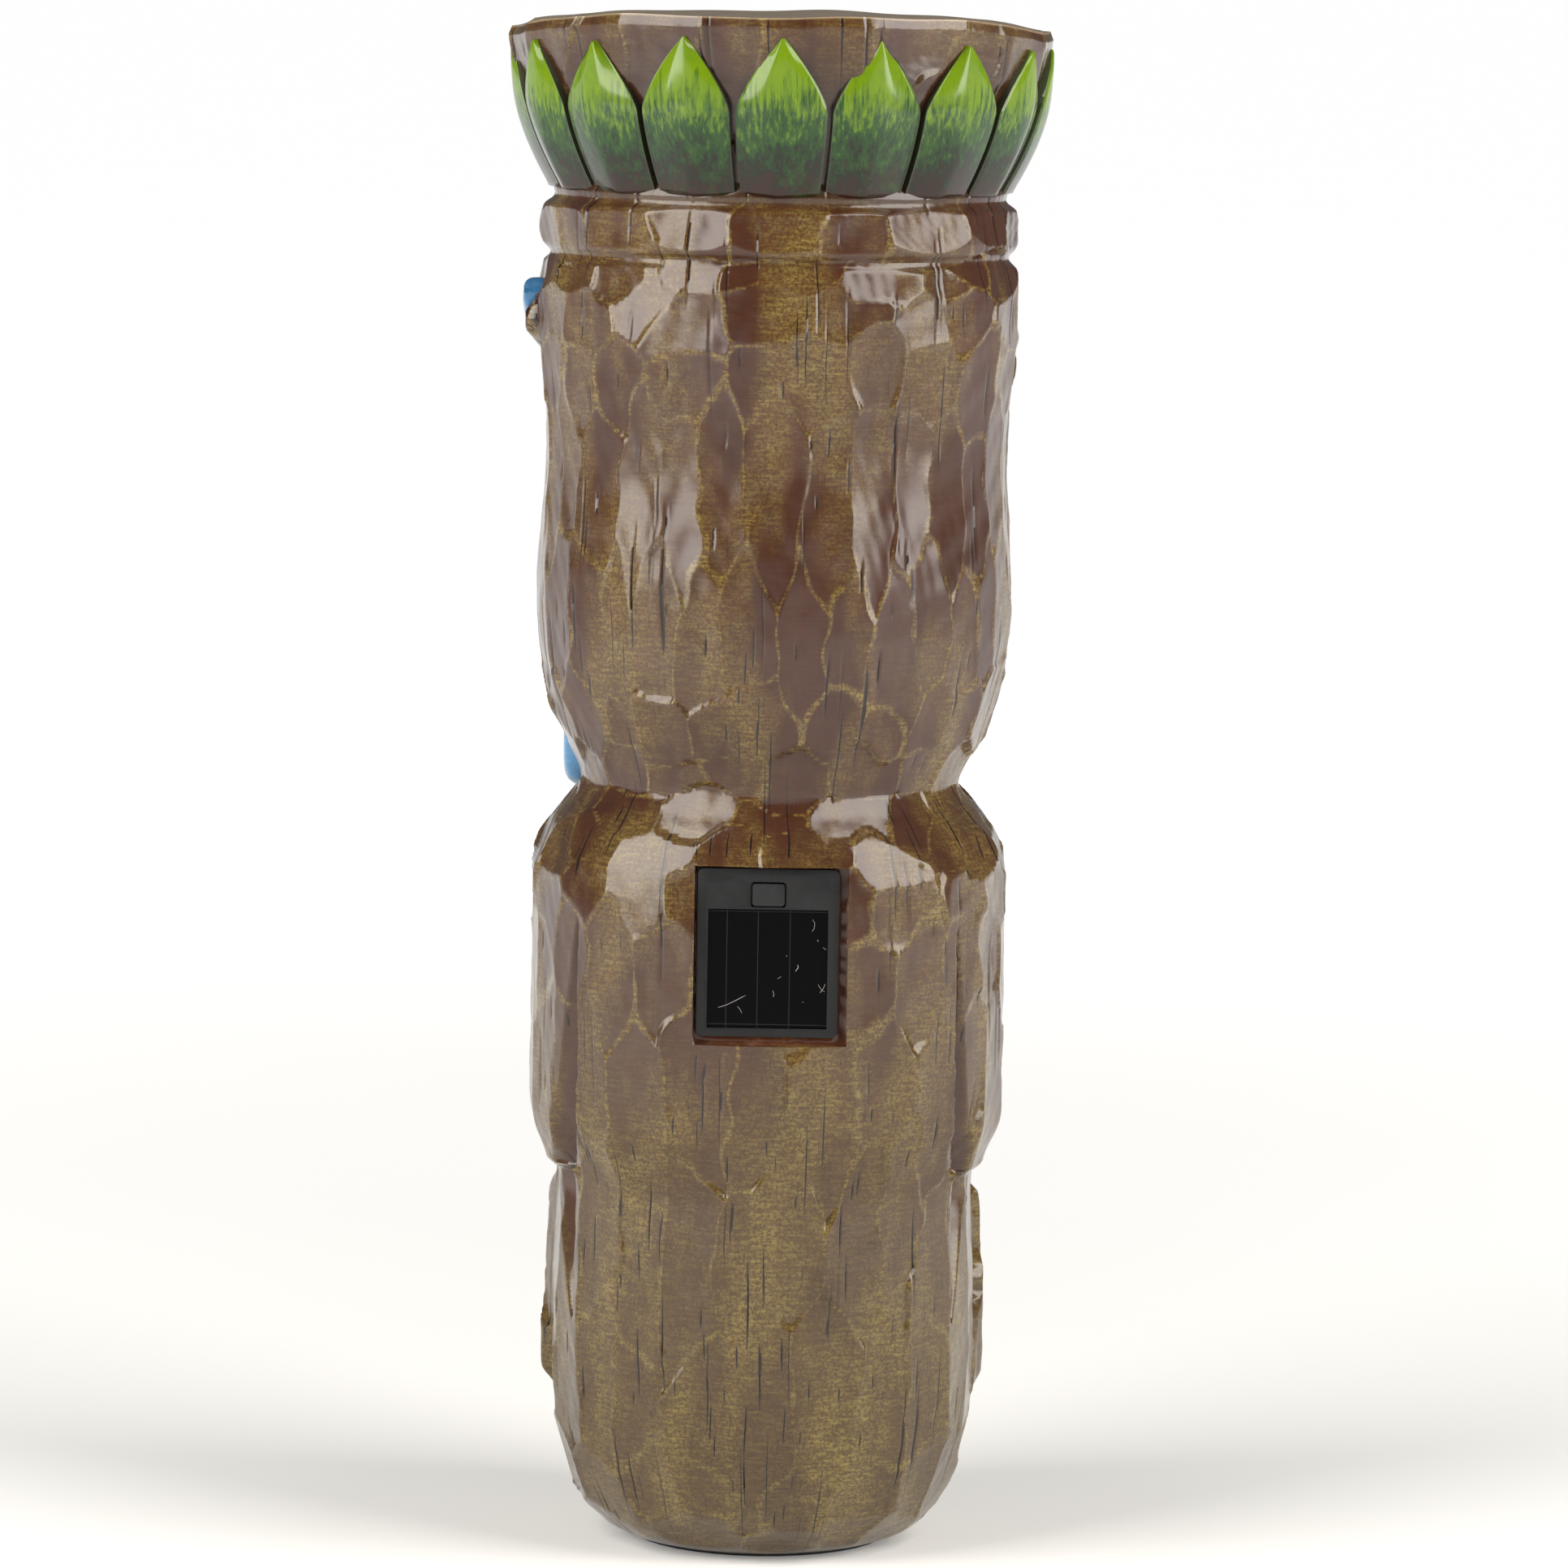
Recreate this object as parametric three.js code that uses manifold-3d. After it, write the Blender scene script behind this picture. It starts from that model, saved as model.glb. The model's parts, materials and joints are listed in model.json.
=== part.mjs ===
// Solar tiki figure: a hollow figure cast in filled resin, with a solar lamp module set into its back,
// a lead to a lamp behind each eye, and a plate that closes its underside.
// Millimetres. +Z is up, the face looks along -Y, and the module looks along +Y. The origin is the
// middle of the underside, on the surface that the figure stands on.
import * as THREE from "three";
import { mergeVertices } from "three/addons/utils/BufferGeometryUtils.js";
import Module from "manifold-3d";

const wasm = await Module();
wasm.setup();

// ---------------------------------------------------------------- driving dimensions

const height = 508; // overall, to the flat crown
const girth = 158; // side to side at the head
const wall = 6.5; // cast wall
const crownWall = 11; // thickness under the flat top
const gap = 0.3; // between pieces that touch
const sheetGap = 0.15; // between flat pieces stacked in the module

const leafCount = 16; // leaves round the crown
const leafRelief = 2.6; // how far a leaf stands out
const faceTurn = THREE.MathUtils.degToRad(3); // the face looks a little to the figure's left

const plateRadius = 43; // closing plate under the figure
const plateThickness = 4;
const plateSeat = 4; // ledge that the plate rests against

const cellSize = 40; // square solar cell
const cellLip = 0.5; // how far the bezel covers the cell's edge
const cellPlay = 0.3; // round the cell in its recess
const lipThickness = 1.4;
const coverThickness = 0.8; // clear cover over the cell
const stripThickness = 0.4; // each silicon strip
const stripCount = 4;
const stripGap = 0.5;
const boardThickness = 1.6; // cell board and circuit board

const bezelBorder = 3.5; // beside the cell window
const bezelFoot = 2.8; // below the cell window
const switchStripHeight = 13.2; // above the cell window
const bezelDepth = 8;
const bezelCorner = 2;
const moduleWall = 1.8;
const bezelFront = 2; // front wall round the switch
const gasketThickness = 0.8;
const trayFloor = 1.6;

const buttonWidth = 10.4;
const buttonHeight = 7.2;
const buttonProud = 0.8; // stands out of the bezel
const buttonDrop = 8.4; // button centre below the bezel's top edge
const buttonPlay = 0.5; // round the button in its slot
const buttonFlange = 1; // hidden wing on each side that keeps the button in
const buttonFlangeThickness = 1;
const buttonTravel = 1.5;
const plungerRadius = 1.5;
const switchSize = 7; // square switch body
const switchDepth = 6;

const batteryRadius = 5.25; // AAA cell
const batteryLength = 44.5;
const batteryPlay = 0.9; // beside the cell, towards the bosses
const batteryHeadroom = 1; // over the cell, towards the bezel
const batteryFloorPlay = 0.4; // under the cell
const batteryNubRadius = 1.9;
const batteryNub = 1;
const contactThickness = 0.4;
const springWire = 0.35;
const springRadius = 3;
const springTurns = 3;

const circuitPlay = 1.7; // beside the circuit board, towards the bosses
const circuitHeight = 40;
const coilRadius = 2.6;
const coilHeight = 4.6;
const chipSize = [4.2, 3.4, 1.6];

const screwRadius = 1.15;
const screwHeadRadius = 2;
const screwHeadThickness = 1.2;
const screwBite = 3; // thread length in the boss
const pilotDepth = 3.5;
const bossRadius = 2.5;
const pilotPlay = 0.15;

const leadRadius = 0.9;
const grommetRadius = 3.2;
const grommetFlange = 1.2;
const grommetFlangeThickness = 1.2;

const pocketRecess = 1.6; // bezel face below the figure's back at the pocket's sides
const pocketPlayLeft = 1; // beside the module, on the figure's left
const pocketPlayRight = 3;
const pocketPlayTop = 0.8;
const pocketPlayBottom = 2.6;
const pocketFloor = 4; // resin behind the module
const pocketPassRadius = 5; // lead hole through that resin
const sealantDepth = 6; // sealant bead, below the bezel face
const sealantHeight = 4;

const lensRadius = 10; // lit part of the eye
const lensRise = 5;
const lensSpigot = 5;
const eyeBore = 9; // diameter of the hole behind a lens
const eyeSocketRadius = 15;
const eyeWall = 12; // resin behind the socket's flat floor
const eyeBossWall = 5; // resin round the socket
const lampRadius = 2.5;
const lampLength = 8.6;
const lampFlange = 0.45;
const holderFlange = 2.4;
const holderFlangeThickness = 2.2;

// ---------------------------------------------------------------- figure outline

// Sections from the underside up: share of the height, half width and half depth as shares of the
// half girth. The half width leaves out the arms.
const sections = [
  [0, 0.633, 0.633],
  [0.008, 0.728, 0.728],
  [0.018, 0.791, 0.791],
  [0.031, 0.835, 0.83],
  [0.049, 0.873, 0.87],
  [0.098, 0.916, 0.915],
  [0.18, 0.907, 0.93],
  [0.234, 0.88, 0.94],
  [0.247, 0.885, 0.945],
  [0.295, 0.943, 0.96],
  [0.355, 0.967, 0.97],
  [0.415, 0.967, 0.968],
  [0.46, 0.955, 0.94],
  [0.474, 0.93, 0.91],
  [0.484, 0.885, 0.87],
  [0.494, 0.825, 0.83],
  [0.504, 0.795, 0.82],
  [0.516, 0.825, 0.845],
  [0.532, 0.882, 0.885],
  [0.55, 0.93, 0.92],
  [0.571, 0.962, 0.948],
  [0.6, 0.99, 0.97],
  [0.66, 0.987, 0.975],
  [0.77, 0.992, 0.98],
  [0.8, 1.0, 0.985],
  [0.825, 0.997, 0.982],
  [0.849, 0.955, 0.95],
  [0.854, 0.972, 0.965],
  [0.87, 0.982, 0.975],
  [0.877, 0.968, 0.96],
  [0.882, 0.945, 0.94],
  [0.888, 0.968, 0.96],
  [0.897, 1.0, 0.99],
  [0.908, 1.048, 1.035],
  [0.94, 1.113, 1.09],
  [0.958, 1.125, 1.1],
  [0.978, 1.131, 1.105],
  [0.993, 1.127, 1.1],
  [1, 1.108, 1.083],
];

// Carved parts of the body, as bands of height (shares of the height) and of turn (degrees from the
// middle of the back).
const torso = { squareness: 2.35, low: 0.266, high: 0.472 }; // the torso is squarer than an oval
const arm = { from: 66, to: 122, low: 0.25, high: 0.468, reach: 0.998 };
const armGroove = { from: 58, to: 66, low: 0.252, high: 0.415, depth: 6 };
const hipNotch = { from: 58, to: 68, low: 0.155, high: 0.248, depth: 5 };
const forearm = { from: 118, to: 158, low: 0.262, high: 0.335, lift: 5 };
const thigh = { from: 104, to: 152, low: 0.11, high: 0.235, lift: 4 };
const foot = { from: 118, to: 170, low: 0.02, high: 0.07, lift: 6 };
const legGap = { from: 174, to: 190, low: 0.035, high: 0.19, depth: 5 };

// Face, measured from its own middle, which faceTurn turns. Levels are shares of the height; reaches
// and half widths are shares of the half girth.
const brow = { low: 0.775, high: 0.812, arch: 0.014, wide: 1.05, deep: 1.07, back: 0.1 };
const nose = { low: 0.66, high: 0.786, tip: 1.07, tipHalf: 0.26, bridgeHalf: 0.09 };
const lips = { low: 0.489, high: 0.645, half: 0.875, wide: 0.905, deep: 1.045, back: -0.25 };
const mouth = { low: 0.524, high: 0.61, half: 0.62, floor: 0.86 };
const teeth = { across: 6, rows: 2, wide: 0.84, deep: 0.97, gap: 1.4 };
const eyeLevel = 0.738;
const eyeAngle = THREE.MathUtils.degToRad(23); // each eye looks this far to its side
const eyeFloor = 0.85; // socket floor, from the figure's axis

const moduleLevel = 0.4055; // module centre, as a share of the height
const crownBase = 0.882; // groove under the leaves
const crownNotch = 0.947; // where neighbouring leaves part
const leafTip = 0.978;
const leafEdge = 0.002; // half the height over which a leaf's edge steps down

// ---------------------------------------------------------------- small helpers

const half = girth / 2;

// 0 below a, 1 above b, smooth between.
const rise = (x, a, b) => THREE.MathUtils.smoothstep(x, a, b);

// 1 inside low to high, falling to 0 within soft on either side.
const band = (x, low, high, soft) =>
  rise(x, low - soft, low + soft) * (1 - rise(x, high - soft, high + soft));

function resinLike(color, roughness, metalness = 0) {
  return new THREE.MeshStandardMaterial({ color, roughness, metalness });
}

const finishes = {
  castResin: resinLike(0x6b5446, 0.55),
  blackPlastic: resinLike(0x26262b, 0.5),
  greyRubber: resinLike(0x3a3a3c, 0.8),
  silicon: resinLike(0x0d0b12, 0.2),
  clear: resinLike(0x111014, 0.1),
  board: resinLike(0x1f5a34, 0.5),
  steel: resinLike(0xb8b8b8, 0.3, 1),
  sleeve: resinLike(0x2f6f9f, 0.4),
  copper: resinLike(0xb87333, 0.4, 1),
  lens: resinLike(0xf3e6b8, 0.2),
  redLead: resinLike(0xa02020, 0.5),
  blackLead: resinLike(0x181818, 0.5),
  sealant: resinLike(0x4a3326, 0.6),
};

// A closed three.js geometry as a manifold solid.
function toSolid(geometry) {
  const bare = geometry.index ? geometry.toNonIndexed() : geometry.clone();
  for (const name of ["normal", "uv"]) bare.deleteAttribute(name);
  const merged = mergeVertices(bare, 1e-3);
  return new wasm.Manifold(
    new wasm.Mesh({
      numProp: 3,
      vertProperties: new Float32Array(merged.attributes.position.array),
      triVerts: new Uint32Array(merged.index.array),
    }),
  );
}

function toGeometry(solid) {
  const mesh = solid.getMesh();
  const geometry = new THREE.BufferGeometry();
  geometry.setAttribute("position", new THREE.BufferAttribute(mesh.vertProperties, 3));
  geometry.setIndex(new THREE.BufferAttribute(mesh.triVerts, 1));
  geometry.computeVertexNormals();
  return geometry;
}

function piece(name, geometry, finish) {
  const mesh = new THREE.Mesh(geometry, finishes[finish]);
  mesh.name = name;
  return mesh;
}

function roundedRect(width, tall, corner, cx = 0, cz = 0) {
  const [x, z] = [width / 2, tall / 2];
  const shape = new THREE.Shape();
  shape.moveTo(cx - x + corner, cz - z);
  shape.lineTo(cx + x - corner, cz - z);
  shape.absarc(cx + x - corner, cz - z + corner, corner, -Math.PI / 2, 0);
  shape.absarc(cx + x - corner, cz + z - corner, corner, 0, Math.PI / 2);
  shape.absarc(cx - x + corner, cz + z - corner, corner, Math.PI / 2, Math.PI);
  shape.absarc(cx - x + corner, cz - z + corner, corner, Math.PI, Math.PI * 1.5);
  return shape;
}

// A plate whose outline lies in X and Z, from depth `from` to depth `to` behind the bezel's face.
function plate(shape, from, to, curveSegments = 3) {
  const geometry = new THREE.ExtrudeGeometry(shape, { depth: to - from, bevelEnabled: false, curveSegments });
  return geometry.rotateX(Math.PI / 2).translate(0, -from, 0);
}

const block = (width, tall, from, to, cx = 0, cz = 0) =>
  new THREE.BoxGeometry(width, to - from, tall).translate(cx, -(from + to) / 2, cz);

// A round bar along the module's depth.
const barIn = (radius, from, to, cx, cz, segments = 12) =>
  new THREE.CylinderGeometry(radius, radius, to - from, segments).translate(cx, -(from + to) / 2, cz);

// A turned shape about +Z, from [radius, height] points that run up the outside.
function turned(points, segments = 32) {
  const outline = points.map(([radius, z]) => new THREE.Vector2(radius, z));
  return new THREE.LatheGeometry(outline, segments).rotateX(Math.PI / 2);
}

function cut(solid, ...geometries) {
  return geometries.reduce((left, geometry) => left.subtract(toSolid(geometry)), solid);
}

// ---------------------------------------------------------------- figure

function sectionAt(share) {
  const next = sections.findIndex(([level]) => level >= share - 1e-9);
  if (next <= 0) return sections[Math.max(next, 0)];
  const [a, b] = [sections[next - 1], sections[next]];
  const t = (share - a[0]) / (b[0] - a[0]);
  return a.map((value, i) => THREE.MathUtils.lerp(value, b[i], t));
}

// How square the body's section is at a share of the height; 2 is an oval.
const squareAt = (share) =>
  THREE.MathUtils.lerp(2, torso.squareness, band(share, torso.low, torso.high, 0.024));

// Radius of the plain body at a share of the height and a turn from the back, in radians.
function coreRadius(share, turn) {
  const [, wide, deep] = sectionAt(share);
  const power = squareAt(share);
  const [x, y] = [Math.abs(Math.sin(turn) / wide), Math.abs(Math.cos(turn) / deep)];
  return half * Math.pow(Math.pow(x, power) + Math.pow(y, power), -1 / power);
}

// 1 on a leaf's middle line, 0 where it meets the next leaf.
function leafMiddle(degrees) {
  const pitch = 360 / leafCount;
  return Math.abs((((degrees % pitch) + pitch) % pitch) - pitch / 2) / (pitch / 2);
}

// Upper edge of the leaves, as a share of the height: arches that meet at the notches.
const leafTop = (degrees) => THREE.MathUtils.lerp(crownNotch, leafTip, Math.pow(leafMiddle(degrees), 1.2));

// Radius of the carved figure.
function figureRadius(share, turn) {
  const side = Math.abs(THREE.MathUtils.radToDeg(turn));
  let radius = coreRadius(share, turn);

  const armShare = band(side, arm.from, arm.to, 3) * band(share, arm.low, arm.high, 0.004);
  radius = Math.max(radius, THREE.MathUtils.lerp(radius, arm.reach * half, armShare));
  for (const { from, to, low, high, depth } of [armGroove, hipNotch, legGap])
    radius -= depth * band(side, from, to, 2) * band(share, low, high, 0.01);
  for (const { from, to, low, high, lift } of [forearm, thigh, foot])
    radius += lift * band(side, from, to, 5) * band(share, low, high, 0.012);

  if (share > crownBase) {
    const degrees = THREE.MathUtils.radToDeg(turn);
    const above = rise(share, leafTop(degrees) - leafEdge, leafTop(degrees) + leafEdge);
    const seam = (1 - rise(leafMiddle(degrees), 0, 0.2)) * band(share, crownBase, crownNotch, 0.006);
    radius -= leafRelief * Math.max(above * (1 - rise(share, 0.98, 0.99)), 0.7 * seam);
  }
  return radius;
}

// A closed skin from rows of radii, with flat ends. A row is a share of the height, or a function that
// gives one for each turn.
function skin(rows, columns, radiusAt) {
  const points = [];
  const faces = [];
  for (const row of rows)
    for (let i = 0; i < columns; i++) {
      const turn = (i / columns) * 2 * Math.PI;
      const signed = turn > Math.PI ? turn - 2 * Math.PI : turn;
      const share = typeof row === "function" ? row(signed) : row;
      const radius = radiusAt(share, signed);
      points.push(radius * Math.sin(turn), radius * Math.cos(turn), share * height);
    }
  const [low, high] = [points.length / 3, points.length / 3 + 1];
  points.push(0, 0, rows[0] * height, 0, 0, rows.at(-1) * height);
  const last = (rows.length - 1) * columns;
  for (let i = 0; i < columns; i++) {
    const next = (i + 1) % columns;
    for (let row = 0; row < last; row += columns) {
      faces.push(row + i, row + columns + i, row + next);
      faces.push(row + next, row + columns + i, row + columns + next);
    }
    faces.push(low, i, next, high, last + next, last + i);
  }
  const geometry = new THREE.BufferGeometry();
  geometry.setAttribute("position", new THREE.Float32BufferAttribute(points, 3));
  return geometry.setIndex(faces);
}

const columns = 4 * leafCount;
const leafRow = (sign) => (turn) => leafTop(THREE.MathUtils.radToDeg(turn)) + sign * leafEdge;
const plainShares = [...sections.map(([share]) => share), 0.22, 0.256].sort((a, b) => a - b);
const figureRows = [
  ...plainShares.filter((share) => share < crownNotch - leafEdge),
  leafRow(-1),
  leafRow(1),
  ...plainShares.filter((share) => share > leafTip + leafEdge),
];

const cavityFoot = (plateThickness + plateSeat) / height;
const cavityTop = 1 - crownWall / height;
const cavityShares = sections
  .map(([share]) => share)
  .filter((share, i) => i % 3 === 0 && share > cavityFoot && share < cavityTop);
const cavityRows = [cavityFoot, ...cavityShares, cavityTop];

// Radius of the hollow inside, which keeps its wall behind the mouth.
function cavityRadius(share, turn) {
  const aside = Math.abs(THREE.MathUtils.radToDeg(turn));
  const mouthShare = rise(aside, 105, 125) * band(share, mouth.low - 0.02, mouth.high + 0.02, 0.012);
  const plain = coreRadius(share, turn);
  return THREE.MathUtils.lerp(plain, Math.min(plain, mouth.floor * half), mouthShare) - wall;
}

// Module frame: centred on the bezel's face, which looks along +Y.
const trayInner = batteryLength + 2 * (contactThickness + 8 * springWire);
const windowSize = cellSize - 2 * cellLip;
const bezelWidth = windowSize + 2 * bezelBorder;
const bezelHeight = Math.max(bezelFoot + windowSize + switchStripHeight, trayInner + 2 * moduleWall);
const backEdge = bezelWidth / 2 + pocketPlayRight;
const moduleZ = moduleLevel * height;
const backDepth = coreRadius(moduleLevel, 0);
const backHalfWidth = sectionAt(moduleLevel)[1] * half;
const backPower = squareAt(moduleLevel);
const pocketEdgeY = backDepth * Math.pow(1 - Math.pow(backEdge / backHalfWidth, backPower), 1 / backPower);
const bezelY = pocketEdgeY - pocketRecess;

const gasketFrom = bezelDepth + sheetGap;
const trayFrom = gasketFrom + gasketThickness + sheetGap;
const floorFrom = trayFrom + batteryHeadroom + 2 * batteryRadius + batteryFloorPlay;
const trayTo = floorFrom + trayFloor;

const pocketWidth = bezelWidth + pocketPlayLeft + pocketPlayRight;
const pocketHeight = bezelHeight + pocketPlayTop + pocketPlayBottom;
const pocketX = (pocketPlayLeft - pocketPlayRight) / 2;
const pocketZ = (pocketPlayTop - pocketPlayBottom) / 2;
const pocketDepth = trayTo + grommetFlangeThickness + 2 * gap;

// Lead hole, low in the tray, clear of the battery and the bosses.
const passX = bezelWidth / 2 - moduleWall - 2 * bossRadius - grommetRadius - grommetFlange;
const passZ = -bezelHeight / 2 + moduleWall + 2 * bossRadius + grommetRadius;

// Frame of one eye: its axis points out of the socket floor.
const eyeFrame = (sign) =>
  new THREE.Matrix4()
    .makeRotationZ(faceTurn + sign * eyeAngle)
    .multiply(new THREE.Matrix4().makeTranslation(0, -eyeFloor * half, eyeLevel * height))
    .multiply(new THREE.Matrix4().makeRotationX(Math.PI / 2));

// A piece of the face: an outline in X and Z, kept inside an upright oval bar round the figure's axis.
function wrapped(outline, wide, deep, back, curveSegments = 3) {
  const depth = 1.3 * half + back * half;
  const prism = new THREE.ExtrudeGeometry(outline, { depth, bevelEnabled: false, curveSegments });
  prism.rotateX(Math.PI / 2).translate(0, back * half, 0);
  return toSolid(prism.rotateZ(faceTurn)).intersect(ovalBar(wide, deep));
}

function ovalBar(wide, deep) {
  const bar = new THREE.CylinderGeometry(half, half, height, 44).rotateX(Math.PI / 2);
  return toSolid(bar.scale(wide, deep, 1).translate(0, 0, height / 2).rotateZ(faceTurn));
}

const faceOutline = (points) =>
  new THREE.Shape(points.map(([x, share]) => new THREE.Vector2(x * half, share * height)));

// A panel whose corners are rounded, from shares of the half girth and of the height.
function facePanel(panelHalf, low, high, corner) {
  return roundedRect(2 * panelHalf * half, (high - low) * height, corner, 0, ((low + high) / 2) * height);
}

function browSolid() {
  const steps = 12;
  const edge = (level, lift) =>
    Array.from({ length: steps + 1 }, (_, i) => {
      const x = (2 * i) / steps - 1;
      return [x * 1.1, level + lift * Math.abs(Math.sin(x * Math.PI))];
    });
  const outline = [...edge(brow.low, brow.arch), ...edge(brow.high, brow.arch * 0.6).reverse()];
  return wrapped(faceOutline(outline), brow.wide, brow.deep, brow.back);
}

// The nose: a side outline and a front outline, each extruded, and the part that both share.
function noseSolid() {
  const { low, high, tip, tipHalf, bridgeHalf } = nose;
  const nostril = low + 0.02;
  const rightSide = [[-bridgeHalf, high], [-tipHalf, nostril], [-tipHalf, low]];
  const front = faceOutline([...rightSide, [tipHalf, low], [tipHalf, nostril], [bridgeHalf, high]]);
  const side = faceOutline([[-0.9, low], [-tip + 0.03, low], [-tip, low + 0.02], [-1, high], [-0.9, high]]);
  const across = new THREE.ExtrudeGeometry(side, { depth: girth, bevelEnabled: false });
  across.translate(0, 0, -half).rotateY(Math.PI / 2).rotateX(Math.PI / 2).rotateZ(faceTurn);
  return wrapped(front, 1.2, 1.2, -0.8).intersect(toSolid(across));
}

function teethSolids() {
  const tall = ((mouth.high - mouth.low) * height) / teeth.rows;
  const wide = (2 * mouth.half * half) / teeth.across;
  const solids = [];
  for (let row = 0; row < teeth.rows; row++)
    for (let i = 0; i < teeth.across; i++) {
      const x = (i - (teeth.across - 1) / 2) * wide;
      const z = mouth.low * height + (row + 0.5) * tall + (row ? 1 : -1);
      const outline = roundedRect(wide - teeth.gap, tall - teeth.gap, 1.5, x, z);
      solids.push(wrapped(outline, teeth.wide, teeth.deep, -0.45, 1));
    }
  return solids;
}

function figureCasting() {
  const atModule = (geometry) => geometry.translate(0, bezelY, moduleZ);
  const [bossWidth, bossHeight] = [pocketWidth + 2 * pocketFloor, pocketHeight + 2 * pocketFloor];
  const pocketBoss = atModule(block(bossWidth, bossHeight, -2, pocketDepth + pocketFloor, pocketX, pocketZ));
  const pocket = atModule(block(pocketWidth, pocketHeight, -20, pocketDepth, pocketX, pocketZ));
  const pass = atModule(barIn(pocketPassRadius, 0, pocketDepth + pocketFloor + 2, passX, passZ));
  let cavity = cut(toSolid(skin(cavityRows, columns / 2, cavityRadius)), pocketBoss);

  const mouthHollow = wrapped(facePanel(mouth.half, mouth.low, mouth.high, 8), 1.2, 1.2, -0.4);
  const lipRing = wrapped(facePanel(lips.half, lips.low, lips.high, 16), lips.wide, lips.deep, lips.back);
  let body = toSolid(skin(figureRows, columns, figureRadius)).add(browSolid()).add(noseSolid()).add(lipRing);
  body = body.subtract(mouthHollow.subtract(ovalBar(mouth.floor, mouth.floor)));
  for (const tooth of teethSolids()) body = body.add(tooth);

  for (const sign of [1, -1]) {
    const frame = eyeFrame(sign);
    const bossRadius = eyeSocketRadius + eyeBossWall;
    const boss = turned([[0, -eyeWall], [bossRadius, -eyeWall], [bossRadius, 20], [0, 20]], 16);
    cavity = cut(cavity, boss.applyMatrix4(frame));
    const socket = turned([[0, 0], [eyeSocketRadius, 0], [eyeSocketRadius + 3, 20], [0, 20]], 24);
    const bore = turned([[0, -2 * eyeWall], [eyeBore / 2, -2 * eyeWall], [eyeBore / 2, 2], [0, 2]], 16);
    body = cut(body, socket.applyMatrix4(frame), bore.applyMatrix4(frame));
  }
  body = cut(body.subtract(cavity), pocket, pass);
  const foot = plateRadius - plateSeat;
  const openTo = cavityFoot * height + 1;
  const rebate = turned([[0, -1], [plateRadius, -1], [plateRadius, plateThickness], [0, plateThickness]], 36);
  const opening = turned([[0, 0], [foot, 0], [foot, openTo], [0, openTo]], 36);
  return toGeometry(cut(body, rebate, opening));
}

function basePlate() {
  const outer = plateRadius - gap;
  const top = plateThickness - gap;
  return turned([[0, gap], [outer, gap], [outer, top], [0, top]], 36);
}

// ---------------------------------------------------------------- solar lamp module

const windowZ = -bezelHeight / 2 + bezelFoot + windowSize / 2;
const buttonZ = bezelHeight / 2 - buttonDrop;
const bossX = bezelWidth / 2 - moduleWall - bossRadius + 0.5;
const bossZ = bezelHeight / 2 - moduleWall - bossRadius + 0.5;
const bossPlaces = [[bossX, bossZ], [-bossX, bossZ], [bossX, -bossZ], [-bossX, -bossZ]];

const coverFrom = lipThickness + sheetGap;
const stripFrom = coverFrom + coverThickness + sheetGap;
const cellBoardFrom = stripFrom + stripThickness + sheetGap;
const cellStackTo = cellBoardFrom + boardThickness;

const flangeFrom = bezelFront + sheetGap;
const flangeTo = flangeFrom + buttonFlangeThickness;
const switchFrom = flangeTo + buttonTravel + sheetGap + 0.5;
const circuitFrom = switchFrom + switchDepth + sheetGap;
const circuitTo = circuitFrom + boardThickness;
const plungerTo = switchFrom + gap;

function moduleBezel() {
  let shell = toSolid(plate(roundedRect(bezelWidth, bezelHeight, bezelCorner), 0, bezelDepth));
  const recess = cellSize + 2 * cellPlay;
  const innerWidth = bezelWidth - 2 * moduleWall;
  const innerHeight = bezelHeight - 2 * moduleWall;
  let hollow = toSolid(block(innerWidth, innerHeight, cellStackTo + sheetGap, bezelDepth + 1));
  for (const [x, z] of bossPlaces) hollow = cut(hollow, barIn(bossRadius, 0, bezelDepth + 2, x, z));
  const slotWidth = buttonWidth + 2 * buttonPlay;
  const slotHeight = buttonHeight + 2 * buttonPlay;
  const roomWidth = slotWidth + 2 * buttonFlange;
  shell = cut(
    shell.subtract(hollow),
    block(windowSize, windowSize, -1, lipThickness + 1, 0, windowZ),
    block(recess, recess, lipThickness, cellStackTo + sheetGap + 0.1, 0, windowZ),
    plate(roundedRect(slotWidth, slotHeight, 1, 0, buttonZ), -1, bezelFront + 1),
    block(roomWidth, slotHeight, bezelFront, cellStackTo + sheetGap + 0.1, 0, buttonZ),
  );
  const pilotFrom = bezelDepth - pilotDepth;
  const pilots = bossPlaces.map(([x, z]) => barIn(screwRadius + pilotPlay, pilotFrom, bezelDepth + 1, x, z));
  return toGeometry(cut(shell, ...pilots));
}

function moduleTray() {
  let shell = toSolid(plate(roundedRect(bezelWidth, bezelHeight, bezelCorner), trayFrom, trayTo));
  const [innerWidth, innerHeight] = [bezelWidth - 2 * moduleWall, bezelHeight - 2 * moduleWall];
  let hollow = toSolid(block(innerWidth, innerHeight, trayFrom - 1, floorFrom));
  for (const [x, z] of bossPlaces) hollow = cut(hollow, barIn(bossRadius, trayFrom - 2, trayTo, x, z));
  const holes = bossPlaces.flatMap(([x, z]) => [
    barIn(screwRadius + gap, trayFrom - 1, trayTo + 1, x, z),
    barIn(screwHeadRadius + gap / 2, trayTo - screwHeadThickness - gap, trayTo + 1, x, z),
  ]);
  const leadHole = barIn(grommetRadius + sheetGap, floorFrom - 1, trayTo + 1, passX, passZ, 16);
  return toGeometry(cut(shell.subtract(hollow), ...holes, leadHole));
}

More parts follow.
